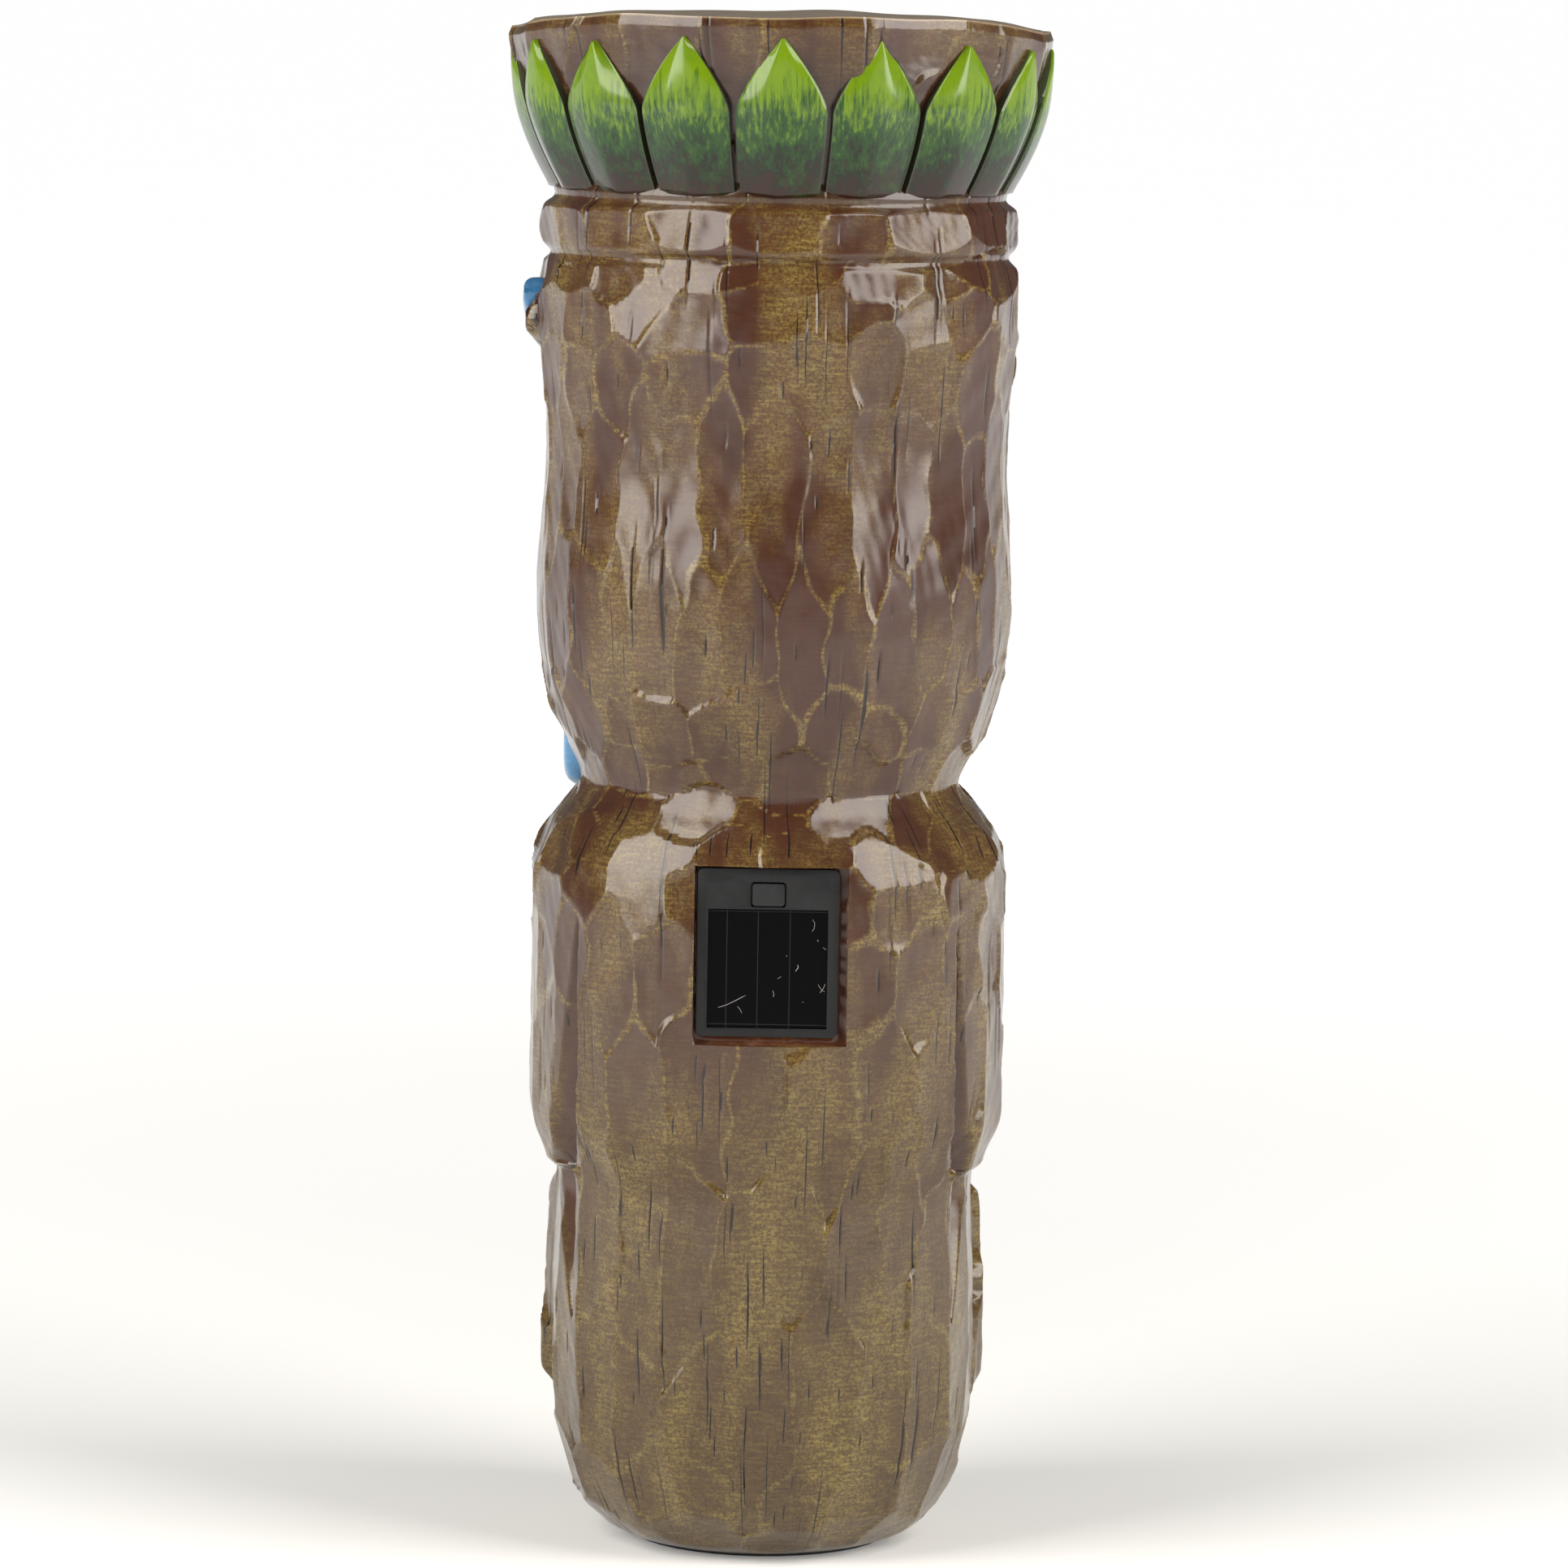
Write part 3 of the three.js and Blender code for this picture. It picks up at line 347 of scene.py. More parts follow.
def plantCuts():
    # middles of the cuts, row by row and scattered, with the body's normal there, tilted a little
    chance = np.random.default_rng(adzeCuts["seed"])
    cuts = []
    for number, (middle, tall, wide) in enumerate(adzeCuts["rows"]):
        count = int(round(2 * math.pi * float(coreRadius(np.array(float(middle)), np.array(0.6))) / wide))
        spread = chance.uniform(-1, 1, (count, 4))
        places = np.arange(count) + 0.5 * (number % 2) + adzeCuts["turnScatter"] * spread[:, 0]
        turn = places * 2 * math.pi / count
        z = np.clip(middle + adzeCuts["heightScatter"] * tall * spread[:, 1], 1, 507)
        size = 1 + 0.22 * chance.uniform(-1, 1, (count, 2))
        slant = np.radians(adzeCuts["tilt"]) * spread[:, 2:]
        depth = adzeCuts["depthScatter"] * chance.uniform(-1, 1, count)
        halves = wide / 2 * size[:, 0], tall / 2 * size[:, 1]
        cuts.append(np.stack([turn, z, *halves, slant[:, 0], slant[:, 1], depth], 1))
    cuts = np.concatenate(cuts)
    turn, z = cuts[:, 0], cuts[:, 1]
    step = 0.02
    signed = wrapped(turn)
    radius = bodyRadius(z, signed)
    climb = (bodyRadius(np.minimum(z + 3, 507.5), signed) - bodyRadius(np.maximum(z - 3, 0.5), signed)) / 6
    swing = (bodyRadius(z, signed + step) - bodyRadius(z, signed - step)) / (2 * step) / radius
    out = np.stack([np.sin(turn), np.cos(turn), np.zeros_like(turn)], 1)
    sideways = np.stack([np.cos(turn), -np.sin(turn), np.zeros_like(turn)], 1)
    up = np.array([0.0, 0.0, 1.0])
    normal = out - np.clip(swing, -0.4, 0.4)[:, None] * sideways - np.clip(climb, -1.1, 1.1)[:, None] * up
    normal = normal + cuts[:, 4:5] * sideways + cuts[:, 5:6] * up * 0.6
    normal /= np.linalg.norm(normal, axis=1)[:, None]
    middle = out * (radius + cuts[:, 6] - 0.5)[:, None] + up * z[:, None]
    return cuts, middle, normal, np.arctan(np.clip(swing, -0.4, 0.4))


cutTable, cutMiddles, cutNormals, cutLeans = plantCuts()


def adzeRadius(z, turn, plain):
    # radius where each point's ray meets the planes of the cuts round it, blended by how near each cut is,
    # and a ridge value that is 1 where two cuts are equally near
    points = onBody(turn, z, plain)
    wander = 2.2 * drift(points, 34, 21), 3.6 * drift(points, 46, 22)
    radius, ridge = np.empty_like(turn), np.empty_like(turn)
    for start in range(0, len(turn), 12):
        rows = slice(start, start + 12)
        zRow, turnRow = z[rows], turn[rows]
        low, high = float(zRow.min()), float(zRow.max())
        reach = 2.3 * cutTable[:, 3] + 6
        near = np.flatnonzero((cutTable[:, 1] > low - reach) & (cutTable[:, 1] < high + reach))
        cuts, middle, normal = cutTable[near], cutMiddles[near], cutNormals[near]
        turnGap = wrapped(turnRow[..., None] - cuts[:, 0])
        across = (turnGap * plain[rows][..., None] + wander[0][rows][..., None]) / cuts[:, 2]
        along = (zRow[..., None] - cuts[:, 1] + wander[1][rows][..., None]) / cuts[:, 3]
        far = across ** 2 + along ** 2
        reachOut = normal[:, 0] * np.sin(turnRow)[..., None] + normal[:, 1] * np.cos(turnRow)[..., None]
        hit = ((normal * middle).sum(1) - normal[:, 2] * zRow[..., None]) / np.maximum(reachOut, 0.3)
        # a tall cut is flat across only, and follows the body's own line up and down
        lean = cutLeans[near] + cuts[:, 4]
        spine = bodyRadius(zRow[:, :1], wrapped(cuts[:, 0])[None, :])[:, None, :]
        upright = spine * np.cos(lean) / np.maximum(np.cos(turnGap + lean), 0.5) + cuts[:, 6] - 0.4
        tallness = smoothStep(cuts[:, 3], 9, 17)
        hit = hit + (upright - hit) * tallness
        hit = np.clip(hit, plain[rows][..., None] - 2.6, plain[rows][..., None] + 1.6)
        hit = hit - adzeCuts["hollow"] * (1 - np.minimum(far, 1.6))
        nearest = far.min(-1, keepdims=True)
        weight = np.exp(-(far - nearest) / adzeCuts["sharpness"])
        radius[rows] = (weight * hit).sum(-1) / weight.sum(-1)
        soft = np.exp(-(far - nearest) / 0.16)
        total = soft.sum(-1)
        ridge[rows] = np.clip(2.1 * (1 - (soft ** 2).sum(-1) / total ** 2), 0, 1)
    return radius, ridge


# thin splits that run up the log as it dries: lengths, depth and the heights they keep to, in mm
cracks = {"count": 640, "shortest": 6, "longest": 46, "depth": 0.45, "from": 8, "to": 506, "seed": 5}


def crackDepth(z, columns):
    # depth of the splits on the grid: each lies on one column, from its low end to its high end, deepest in
    # the middle, so that it is as narrow as the grid allows
    chance = np.random.default_rng(cracks["seed"])
    depth = np.zeros((len(z), columns))
    total = cracks["count"]
    column = chance.integers(0, columns, total)
    level = chance.uniform(cracks["from"], cracks["to"], total)
    spread = cracks["longest"] - cracks["shortest"]
    length = cracks["shortest"] + spread * chance.uniform(0, 1, total) ** 2.2
    strength = chance.uniform(0.55, 1, total)
    for at, middle, span, force in zip(column, level, length, strength):
        run = np.clip(1 - (2 * (z - middle) / span) ** 2, 0, 1) ** 0.5 * force
        depth[:, at] = np.maximum(depth[:, at], run)
    return depth


def figureRows():
    # heights of the grid's rows: even steps of each stretch, with rows exactly on the pocket's edges
    stretches = [(0, 12, 0.9), (12, 78, 1.5), (78, 123, 1.4), (123, 131, 0.7), (131, pocket["low"], 1.45),
                 (pocket["low"], pocket["high"], 1.4), (pocket["high"], 256, 1.1), (256, 262, 1.0),
                 (262, 400, 1.45), (400, 426, 1.1), (426, 430, 0.7), (430, 450, 0.7), (450, 484, 0.85),
                 (484, 508, 0.75)]
    rows = [np.linspace(a, b, int(round((b - a) / step)) + 1)[:-1] for a, b, step in stretches]
    return np.concatenate(rows + [[508.0]])


rowHeights = figureRows()
columnCount = figureShape["columns"]
even = ringAngles(columnCount)
columnTurn = wrapped(even - figureShape["crowding"] * np.sin(even))
pocketColumns = [int(np.abs(columnTurn - math.asin(edge / meanRadius)).argmin())
                 for edge in (pocket["right"], pocket["left"])]


def wanderingTurns(z):
    # turn of every grid point: the columns, each swaying a little with height so that the splits do too
    sway = 0.005 * np.sin(z / 13)[:, None] + 0.004 * np.sin(z / 5.7 + 1)[:, None]
    calm = 1 - between(z, pocket["low"] - 12, pocket["high"] + 12, 4)[:, None]
    return columnTurn[None, :] + sway * calm * (0.6 + 0.4 * np.sin(3 * columnTurn))[None, :]


def snapToPocket(z, turn, radius):
    # slides the columns round the pocket so that two of them run straight up its sides
    inRows = between(z, pocket["low"] - 8, pocket["high"] + 8, 6)[:, None]
    rightAt, leftAt = pocketColumns
    order = np.argsort(columnTurn)
    rank = np.empty(columnCount, int)
    rank[order] = np.arange(columnCount)
    a, b = rank[rightAt], rank[leftAt]
    margin = 26  # columns on either side that are slid as well
    index = rank[None, :].repeat(len(z), 0).astype(float)
    rightTurn = np.arcsin(pocket["right"] / radius[:, rightAt])[:, None]
    leftTurn = np.arcsin(pocket["left"] / radius[:, leftAt])[:, None]
    sortedTurn = columnTurn[order]
    lowTurn, highTurn = sortedTurn[a - margin], sortedTurn[b + margin]
    inner = rightTurn + (leftTurn - rightTurn) * (index - a) / (b - a)
    below = lowTurn + (rightTurn - lowTurn) * (index - (a - margin)) / margin
    above = leftTurn + (highTurn - leftTurn) * (index - b) / margin
    moved = np.where(index < a, below, np.where(index > b, above, inner))
    touched = (index > a - margin) & (index < b + margin)
    return np.where(touched, turn + (moved - turn) * inRows, turn)


def eyePlaces():
    # turn and height of the middle of each eye, from its lens in the frame
    places = []
    for side in ("left", "right"):
        low, high = nodeBox("eye_lens_" + side)
        x, y, z = (low + high) / 2
        places.append((math.atan2(x, y), z))
    return places


eyes = eyePlaces()
mouthHollow = {"half": 53, "low": 261, "high": 313, "floor": 66.5}  # degrees either side, mm


def mouthShare(z, turn, soft):
    # 1 inside the mouth's outline, which narrows upwards, and 0 outside
    aside = np.abs(180 - faceTurn - np.degrees(turn % (2 * math.pi)))
    half = mouthHollow["half"] - 9 * (z - mouthHollow["low"]) / (mouthHollow["high"] - mouthHollow["low"])
    level = between(z, mouthHollow["low"], mouthHollow["high"], soft)
    return (1 - smoothStep(aside, half - soft, half + soft)) * level


eyeSocket = {"radius": 15.5, "floor": 67.0}
# where the cuts fade: how far, from and to which height, over how many mm. They are the grooves under and
# over the band, the bowl behind the leaves, and the waist
calmBands = [(0.85, 427.5, 431.5, 1.5), (0.9, 446.5, 450.5, 1.5), (0.9, 449, 487, 3), (0.55, 240, 262, 6)]


def figureSurface():
    # the whole carved surface on one grid, with the values that the paint follows
    z = rowHeights
    turn = wanderingTurns(z)
    zGrid = np.broadcast_to(z[:, None], turn.shape)
    radius = bodyRadius(zGrid, turn)
    turn = wrapped(snapToPocket(z, turn, radius))
    plain = bodyRadius(zGrid, turn)
    cutRadius, ridge = adzeRadius(zGrid, turn, plain)
    # the cuts fade out at the foot's edge and in the calm bands
    calm = smoothStep(z, 0.5, 5)
    for share, low, high, soft in calmBands:
        calm = calm * (1 - share * between(z, low, high, soft))
    calm = calm[:, None] * np.ones_like(turn)
    radius = plain + (cutRadius - plain) * calm
    hollow = carvedHollows(zGrid, turn, plain)
    radius = radius - hollow - crownRecess(zGrid)
    points = onBody(turn, zGrid, radius)
    radius = radius + 0.14 * drift(points, 16, 31) + 0.04 * drift(points, 6, 32)
    split = crackDepth(z, columnCount)
    clear = 1 - between(z, pocket["low"] - 3, pocket["high"] + 3, 1)[:, None] * (np.abs(turn) < 0.42)
    split = split * clear
    # splits stay shallow where the surface slopes, so that the waist keeps its smooth line
    shallow = (1 - 0.85 * between(z, 228, 266, 8))[:, None]
    radius = radius - cracks["depth"] * split * shallow
    for eyeTurn, eyeZ in eyes:
        gap = wrapped(turn - eyeTurn)
        away = np.hypot(gap * 72, zGrid - eyeZ)
        inside = 1 - smoothStep(away, eyeSocket["radius"] - 1.5, eyeSocket["radius"] + 1.5)
        radius = radius + (np.minimum(eyeSocket["floor"], radius) - radius) * inside
    mouth = mouthShare(zGrid, turn, 1.5)
    radius = radius + (np.minimum(mouthHollow["floor"], radius) - radius) * mouth
    hollow = hollow + 3 * mouth
    droop = rimDroop(turn) * smoothStep(zGrid, 484, 508)
    return turn, zGrid - droop, radius, ridge, split, hollow


def rimDroop(turn):
    # the flat top falls away at both sides as the fifth power of the sine, and is a little uneven
    uneven = 0.5 * np.sin(5 * turn + 1) + 0.4 * np.sin(9 * turn) + 0.3 * np.sin(14 * turn + 2)
    return crownShape["droop"] * np.abs(np.sin(turn)) ** 5 + 0.55 * uneven - 0.6


turnGrid, heightGrid, radiusGrid, ridgeGrid, splitGrid, hollowGrid = figureSurface()
surfacePoints = onBody(turnGrid, heightGrid, radiusGrid)
print("carved surface:", surfacePoints.shape)


def sinkPocket(points):
    # pushes the grid points inside the pocket's outline straight in to its floor and squares up its corners
    rightAt, leftAt = pocketColumns
    inColumn = (columnTurn > columnTurn[rightAt] + 1e-9) & (columnTurn < columnTurn[leftAt] - 1e-9)
    inRow = (rowHeights > pocket["low"] + 1e-6) & (rowHeights < pocket["high"] - 1e-6)
    inside = inRow[:, None] & inColumn[None, :]
    sunk = points.copy()
    sunk[..., 1] = np.where(inside, pocket["floor"], sunk[..., 1])
    # the first points inside lie 0.2 mm from the walls, so that the walls stand upright
    order = np.argsort(columnTurn)
    rightRank, leftRank = np.searchsorted(columnTurn[order], columnTurn[[rightAt, leftAt]])
    firstIn, lastIn = order[rightRank + 1], order[leftRank - 1]
    rows = np.flatnonzero(inRow)
    sunk[rows, firstIn, 0] = pocket["right"] + 0.2
    sunk[rows, lastIn, 0] = pocket["left"] - 0.2
    columns = np.flatnonzero(inColumn)
    sunk[rows[0], columns, 2] = pocket["low"] + 0.2
    sunk[rows[-1], columns, 2] = pocket["high"] - 0.2
    for row in (rows[0] - 1, *rows, rows[-1] + 1):
        sunk[row, rightAt, 0], sunk[row, leftAt, 0] = pocket["right"], pocket["left"]
    return sunk, inside


surfacePoints, inPocket = sinkPocket(surfacePoints)


def innerRadius(z, turn):
    # inside of the casting: the body's radius less the wall, and a flat boss behind the pocket and each eye
    inner = coreRadius(z, turn) - figureShape["wall"]
    x = inner * np.sin(turn)
    wall = pocket["wall"]
    middle, half = (pocket["left"] + pocket["right"]) / 2, (pocket["left"] - pocket["right"]) / 2
    behind = (np.abs(x - middle) < half + wall) & (np.cos(turn) > 0)
    behind = behind & (z > pocket["low"] - wall) & (z < pocket["high"] + wall)
    flat = (pocket["floor"] - wall) / np.maximum(np.cos(turn), 0.3)
    inner = np.where(behind, np.minimum(inner, flat), inner)
    for eyeTurn, eyeZ in eyes:
        gap = wrapped(turn - eyeTurn)
        inner = np.where(np.hypot(gap * 66, z - eyeZ) < 21, np.minimum(inner, 55), inner)
    behindMouth = np.minimum(inner, mouthHollow["floor"] - figureShape["wall"])
    return np.where(mouthShare(z, turn, 4) > 0, behindMouth, inner)


lidDepth = 11  # mm from the top to the ceiling inside


def sliceOfFigure(name, low, high):
    # one piece of the casting between two heights: the carved grid outside, a plain wall inside, and flat
    # ends. The top piece runs in to the axis as a lid, with a lower lid inside
    first, last = (int(np.abs(rowHeights - level).argmin()) for level in (low, high))
    outer, turns = surfacePoints[first:last + 1], turnGrid[first:last + 1]
    grids = {"ridge": ridgeGrid, "split": splitGrid, "hollow": hollowGrid / 6, "sunk": inPocket.astype(float)}
    values = {key: grid[first:last + 1] for key, grid in grids.items()}
    top = high > 507
    levels = np.linspace(low, high - (lidDepth if top else 0), max(6, int((high - low) / 7)))
    for edge in (pocket["low"] - pocket["wall"], pocket["high"] + pocket["wall"]):
        if low < edge < high:
            levels = np.sort(np.concatenate([levels, [edge - 0.3, edge + 0.3]]))
    innerTurn = np.broadcast_to(turns[len(turns) // 2], (len(levels), columnCount)).copy()
    innerTurn[0] = turns[0]
    innerTurn[-1] = turns[-1]
    innerZ = np.broadcast_to(levels[:, None], innerTurn.shape)
    inside = onBody(innerTurn, innerZ, innerRadius(innerZ, innerTurn))
    # rings run down the inside, then up the outside
    rings = [inside[::-1], outer]
    lidShares = np.array([0.99, 0.95, 0.85, 0.65, 0.4, 0.15]) if top else np.array([])
    if top:
        shares = lidShares[:, None, None]
        rings.append(outer[-1][None] * shares + (1 - shares) * np.array([0, 0, high - 0.4]))
    before, after = len(inside), len(lidShares)
    pad = lambda grid: np.concatenate([np.zeros((before, columnCount)), grid, np.zeros((after, columnCount))])
    attributes = {key: pad(grid) for key, grid in values.items()}
    attributes["lid"] = pad(np.zeros_like(values["ridge"]))
    attributes["lid"][before + len(outer) - 1:] = 1 if top else 0
    rings = np.concatenate(rings)
    if top:
        return cappedTube(name, rings, attributes, ((0, 0, high - lidDepth), (0, 0, high - 0.4)))
    return outward(name, rings, tubeFaces(len(rings), columnCount, closedRows=True), (), attributes)


def makeCasting():
    # the casting in four slices, parted under the elbows, at the waist and in the groove under the band
    levels = [0, 127, 256, 430, 508]
    names = ["figure_legs", "figure_torso", "figure_head", "figure_crown"]
    made = []
    for name, low, high in zip(names, levels[:-1], levels[1:]):
        low, high = (float(rowHeights[np.abs(rowHeights - level).argmin()]) for level in (low, high))
        piece = sliceOfFigure(name, low, high)
        made.append(piece)
        print("  ", name, len(piece.data.polygons), "faces")
    return made


castingPieces = makeCasting()
for piece in castingPieces:
    place(piece, "figure", "cast_resin", "figure_casting")
print("casting made")


faceMiddle = math.radians(180 - faceTurn)


def faceTurnAt(degrees):
    # turn of a place on the face, from degrees to the figure's left of the face's middle
    return faceMiddle - np.radians(degrees)


def patchShell(front, back):
    # closed shell between two grids of points: the front, the back turned round, and a wall round the edge
    rows, columns = front.shape[:2]
    index = np.arange(rows * columns).reshape(rows, columns)
    shell = np.stack([index[:-1, :-1], index[:-1, 1:], index[1:, 1:], index[1:, :-1]], -1).reshape(-1, 4)
    loop = np.concatenate([index[0, :-1], index[:-1, -1], index[-1, :0:-1], index[:0:-1, 0]])
    beside, behind = np.roll(loop, -1), rows * columns
    wall = np.stack([beside, loop, loop + behind, beside + behind], 1)
    points = np.concatenate([front.reshape(-1, 3), back.reshape(-1, 3)])
    return points, np.concatenate([shell, shell[:, ::-1] + behind, wall])


def joinShells(name, shells, attributes=None):
    # one mesh from several closed shells; an attribute is a list with one grid for each shell
    starts = np.cumsum([0] + [len(points) for points, _ in shells[:-1]])
    points = np.concatenate([points for points, _ in shells])
    quads = np.concatenate([quads + start for (_, quads), start in zip(shells, starts)])
    values = {key: np.concatenate([np.tile(np.ravel(grid), 2) for grid in grids])
              for key, grids in (attributes or {}).items()}
    return outward(name, points, quads, (), values)


leafShape = {
    "count": 16, "gather": 1.6,  # degrees that the leaves crowd to the back and front
    "base": crownShape["base"], "notch": crownShape["notch"], "tips": 502.0,  # mm
    "stand": 2.2,  # mm that a leaf's middle stands over its edge
    "droop": 3.5,  # mm that the tips at the sides lie lower
    "crisp": 14,  # how sharply the three planes meet
    "steps": (30, 44),  # across, along
}


def makeLeaves():
    # each leaf is a grid of s from edge to edge and t from base to tip: its half width is half the pitch up
    # to the notch, then falls as 1 - v^1.35 to the tip; its face is the lowest of three planes, smoothed
    # where they meet
    chance = np.random.default_rng(3)
    across, along = leafShape["steps"]
    pitch = 360 / leafShape["count"]
    s = easedSpan(across)[None, :]
    middles = np.arange(-leafShape["count"] / 2, leafShape["count"] / 2 + 1) * pitch
    middles = middles - leafShape["gather"] * np.sin(np.radians(2 * middles))
    shells, heights, edges = [], [], []
    for number in range(leafShape["count"]):
        middle = middles[number]
        left = (middle - middles[number - 1]) / 2 if number else pitch / 2
        right = (middles[number + 1] - middle) / 2
        shift = chance.uniform(-1, 1, 3)
        tip = leafShape["tips"] + shift[0] - leafShape["droop"] * abs(math.sin(math.radians(middle))) ** 4
        t = np.linspace(0, 1, along + 1)[:, None] ** 0.92
        z = leafShape["base"] + (tip - leafShape["base"]) * t + 0 * s
        over = np.clip((z - leafShape["notch"]) / (tip - leafShape["notch"]), 0, 1)
        width = np.maximum((1 - over ** 1.35) * (0.955 - 0.02 * (1 - t)), 0.012)
        turn = np.radians(middle + np.where(s < 0, left, right) * s * width + 0.4 * shift[1] * over)
        bowl = coreRadius(z, turn)
        tilt = chance.uniform(0.9, 2.0, 3)
        planes = np.stack([1.3 + tilt[0] * (s + 0.1 * shift[2]) + 0 * z, 1.3 - tilt[1] * (s - 0.1) + 0 * z,
                           1.0 + 0.4 * tilt[2] * (1 - 1.6 * t) + 0 * z])
        dome = -np.log(np.exp(-leafShape["crisp"] * planes).sum(0)) / leafShape["crisp"]
        edge = smoothStep(np.minimum(1 - np.abs(s) + 0 * t, (1 - t) * 2.2 + 0 * s), 0, 0.07)
        front = bowl - leafShape["stand"] * 0.55 + leafShape["stand"] * dome * (0.35 + 0.65 * edge)
        front[:, [0, -1]] = bowl[:, [0, -1]] - 3.2
        front[[0, -1]] = bowl[[0, -1]] - 3.2
        shells.append(patchShell(onBody(turn, z, front), onBody(turn, z, bowl - 4.8)))
        heights.append(t + 0 * s)
        edges.append(np.abs(s) + 0 * t)
    return joinShells("crown_leaves", shells, {"leafHeight": heights, "leafEdge": edges})


leaves = place(makeLeaves(), "figure", "cast_resin", "figure_casting")
print("leaves made")


# turns in degrees to the figure's left of the face's middle, sizes in mm, steps along and round
browShape = {
    "left": 93, "right": -92, "middle": 402, "arch": 8, "half": 9.5, "stand": 5.5, "steps": (150, 28),
}
lipShape = {
    "left": 75, "right": -66, "low": 246, "high": 328, "half": 8.5,
    "narrowing": 0.2, "squareness": 0.24, "leftReach": 69.9, "rightReach": 64.1, "deep": 82.5, "wide": 71.5,
    "steps": (220, 26),
}
eyeRimShape = {"radius": 18.5, "half": 4.2, "stand": 3.4, "steps": (96, 20)}


def roundedProfile(count, squareness=0.6):
    # closed profile: share across from -1 to 1 and share out from -1 to 1, both powers of cosine and sine
    angle = ringAngles(count)
    cosine, sine = np.cos(angle), np.sin(angle)
    return np.sign(cosine) * np.abs(cosine) ** squareness, np.sign(sine) * np.abs(sine) ** squareness


def sweptBand(name, turns, heights, half, faceAt, rootAt, count, closed):
    # a rounded bar laid along a path on the body: each section runs across the path, and each of its points
    # lies between the radius of the root and the radius of the face
    pathX, pathZ = np.unwrap(turns) * meanRadius, heights
    slopeX, slopeZ = np.gradient(pathX), np.gradient(pathZ)
    if closed:
        slopeX = (np.roll(pathX, -1) - np.roll(pathX, 1)) / 2
        slopeX = np.where(np.abs(slopeX) > meanRadius, 0, slopeX)
        slopeZ = (np.roll(pathZ, -1) - np.roll(pathZ, 1)) / 2
    length = np.hypot(slopeX, slopeZ)
    across, out = roundedProfile(count)
    half = np.broadcast_to(half, turns.shape)[:, None]
    turn = turns[:, None] - half * across * (slopeZ / length)[:, None] / meanRadius
    z = heights[:, None] + half * across * (slopeX / length)[:, None]
    face, root = faceAt(z, turn), rootAt(z, turn)
    radius = root + (face - root) * (0.5 + 0.5 * out)
    rings = onBody(turn, z, radius)
    if closed:
        return outward(name, rings, tubeFaces(*rings.shape[:2], closedRows=True))
    return cappedTube(name, rings)


def makeBrow():
    # one bar from temple to temple: its height follows two arches, and it dies away at the figure's right
    along, count = browShape["steps"]
    degrees = np.linspace(browShape["right"], browShape["left"], along)
    outwards = np.abs(degrees)
    heights = browShape["middle"] + browShape["arch"] * np.sin(np.radians(np.clip(outwards, 0, 60) * 3)) ** 2
    heights = heights + 15 * smoothStep(outwards, 62, 96)
    ends = np.clip(np.minimum(degrees - degrees[0], degrees[-1] - degrees) / 5, 0, 1)
    rounding = 0.25 + 0.75 * quarterRound(ends)
    half = (browShape["half"] - 4 * smoothStep(outwards, 62, 92)) * rounding

    def stand(turn):
        aside = np.degrees(wrapped(faceMiddle - turn))
        return (browShape["stand"] + 2) * smoothStep(aside, -90, -58) - 2

    face = lambda z, turn: coreRadius(z, turn) + stand(turn)
    root = lambda z, turn: coreRadius(z, turn) - 4
    return sweptBand("brow_band", faceTurnAt(degrees), heights, half, face, root, count, False)


def makeLips():
    # a ring round the mouth: a rounded box in turn and height; its face keeps to an oval and stops at a flat
    # side at each end
    along, count = lipShape["steps"]
    angle = ringAngles(along)
    middle, half = (lipShape["left"] + lipShape["right"]) / 2, (lipShape["left"] - lipShape["right"]) / 2
    inset, power = lipShape["half"], lipShape["squareness"]
    cosine, sine = np.cos(angle), np.sin(angle)
    degrees = (half - inset / 1.3) * np.sign(cosine) * np.abs(cosine) ** power
    tall = (lipShape["high"] - lipShape["low"]) / 2 - inset
    heights = (lipShape["high"] + lipShape["low"]) / 2 + tall * np.sign(sine) * np.abs(sine) ** power
    degrees = middle + degrees * (1 - lipShape["narrowing"] * smoothStep(heights, 262, 320))

    def face(z, turn):
        aside = wrapped(faceMiddle - turn)
        oval = 1 / np.hypot(np.sin(aside) / (lipShape["wide"] + 2), np.cos(aside) / lipShape["deep"])
        x = np.sin(turn)
        reach = np.where(x > 0, lipShape["leftReach"], lipShape["rightReach"])
        flatSided = np.minimum(oval, reach / np.maximum(np.abs(x), 0.2))
        return np.maximum(flatSided, coreRadius(z, turn) + 3 * smoothStep(z, 268, 284) - 3)

    root = lambda z, turn: np.full_like(turn, 58.0)
    return sweptBand("lips_band", faceTurnAt(degrees), heights, inset, face, root, count, True)


def makeEyeRim(name, eyeTurn, eyeZ):
    # a rounded ring on the face, round the eye's socket
    along, count = eyeRimShape["steps"]
    angle = ringAngles(along)
    turns = eyeTurn + eyeRimShape["radius"] * 1.08 * np.cos(angle) / meanRadius
    heights = eyeZ + eyeRimShape["radius"] * np.sin(angle)
    face = lambda z, turn: coreRadius(z, turn) + eyeRimShape["stand"]
    root = lambda z, turn: coreRadius(z, turn) - 6
    return sweptBand(name, turns, heights, eyeRimShape["half"], face, root, count, True)


noseShape = {
    "low": 334, "high": 404, "bridge": 8, "tip": 23, "bridgeStand": 6.5, "tipStand": 12.5, "steps": (56, 90),
}


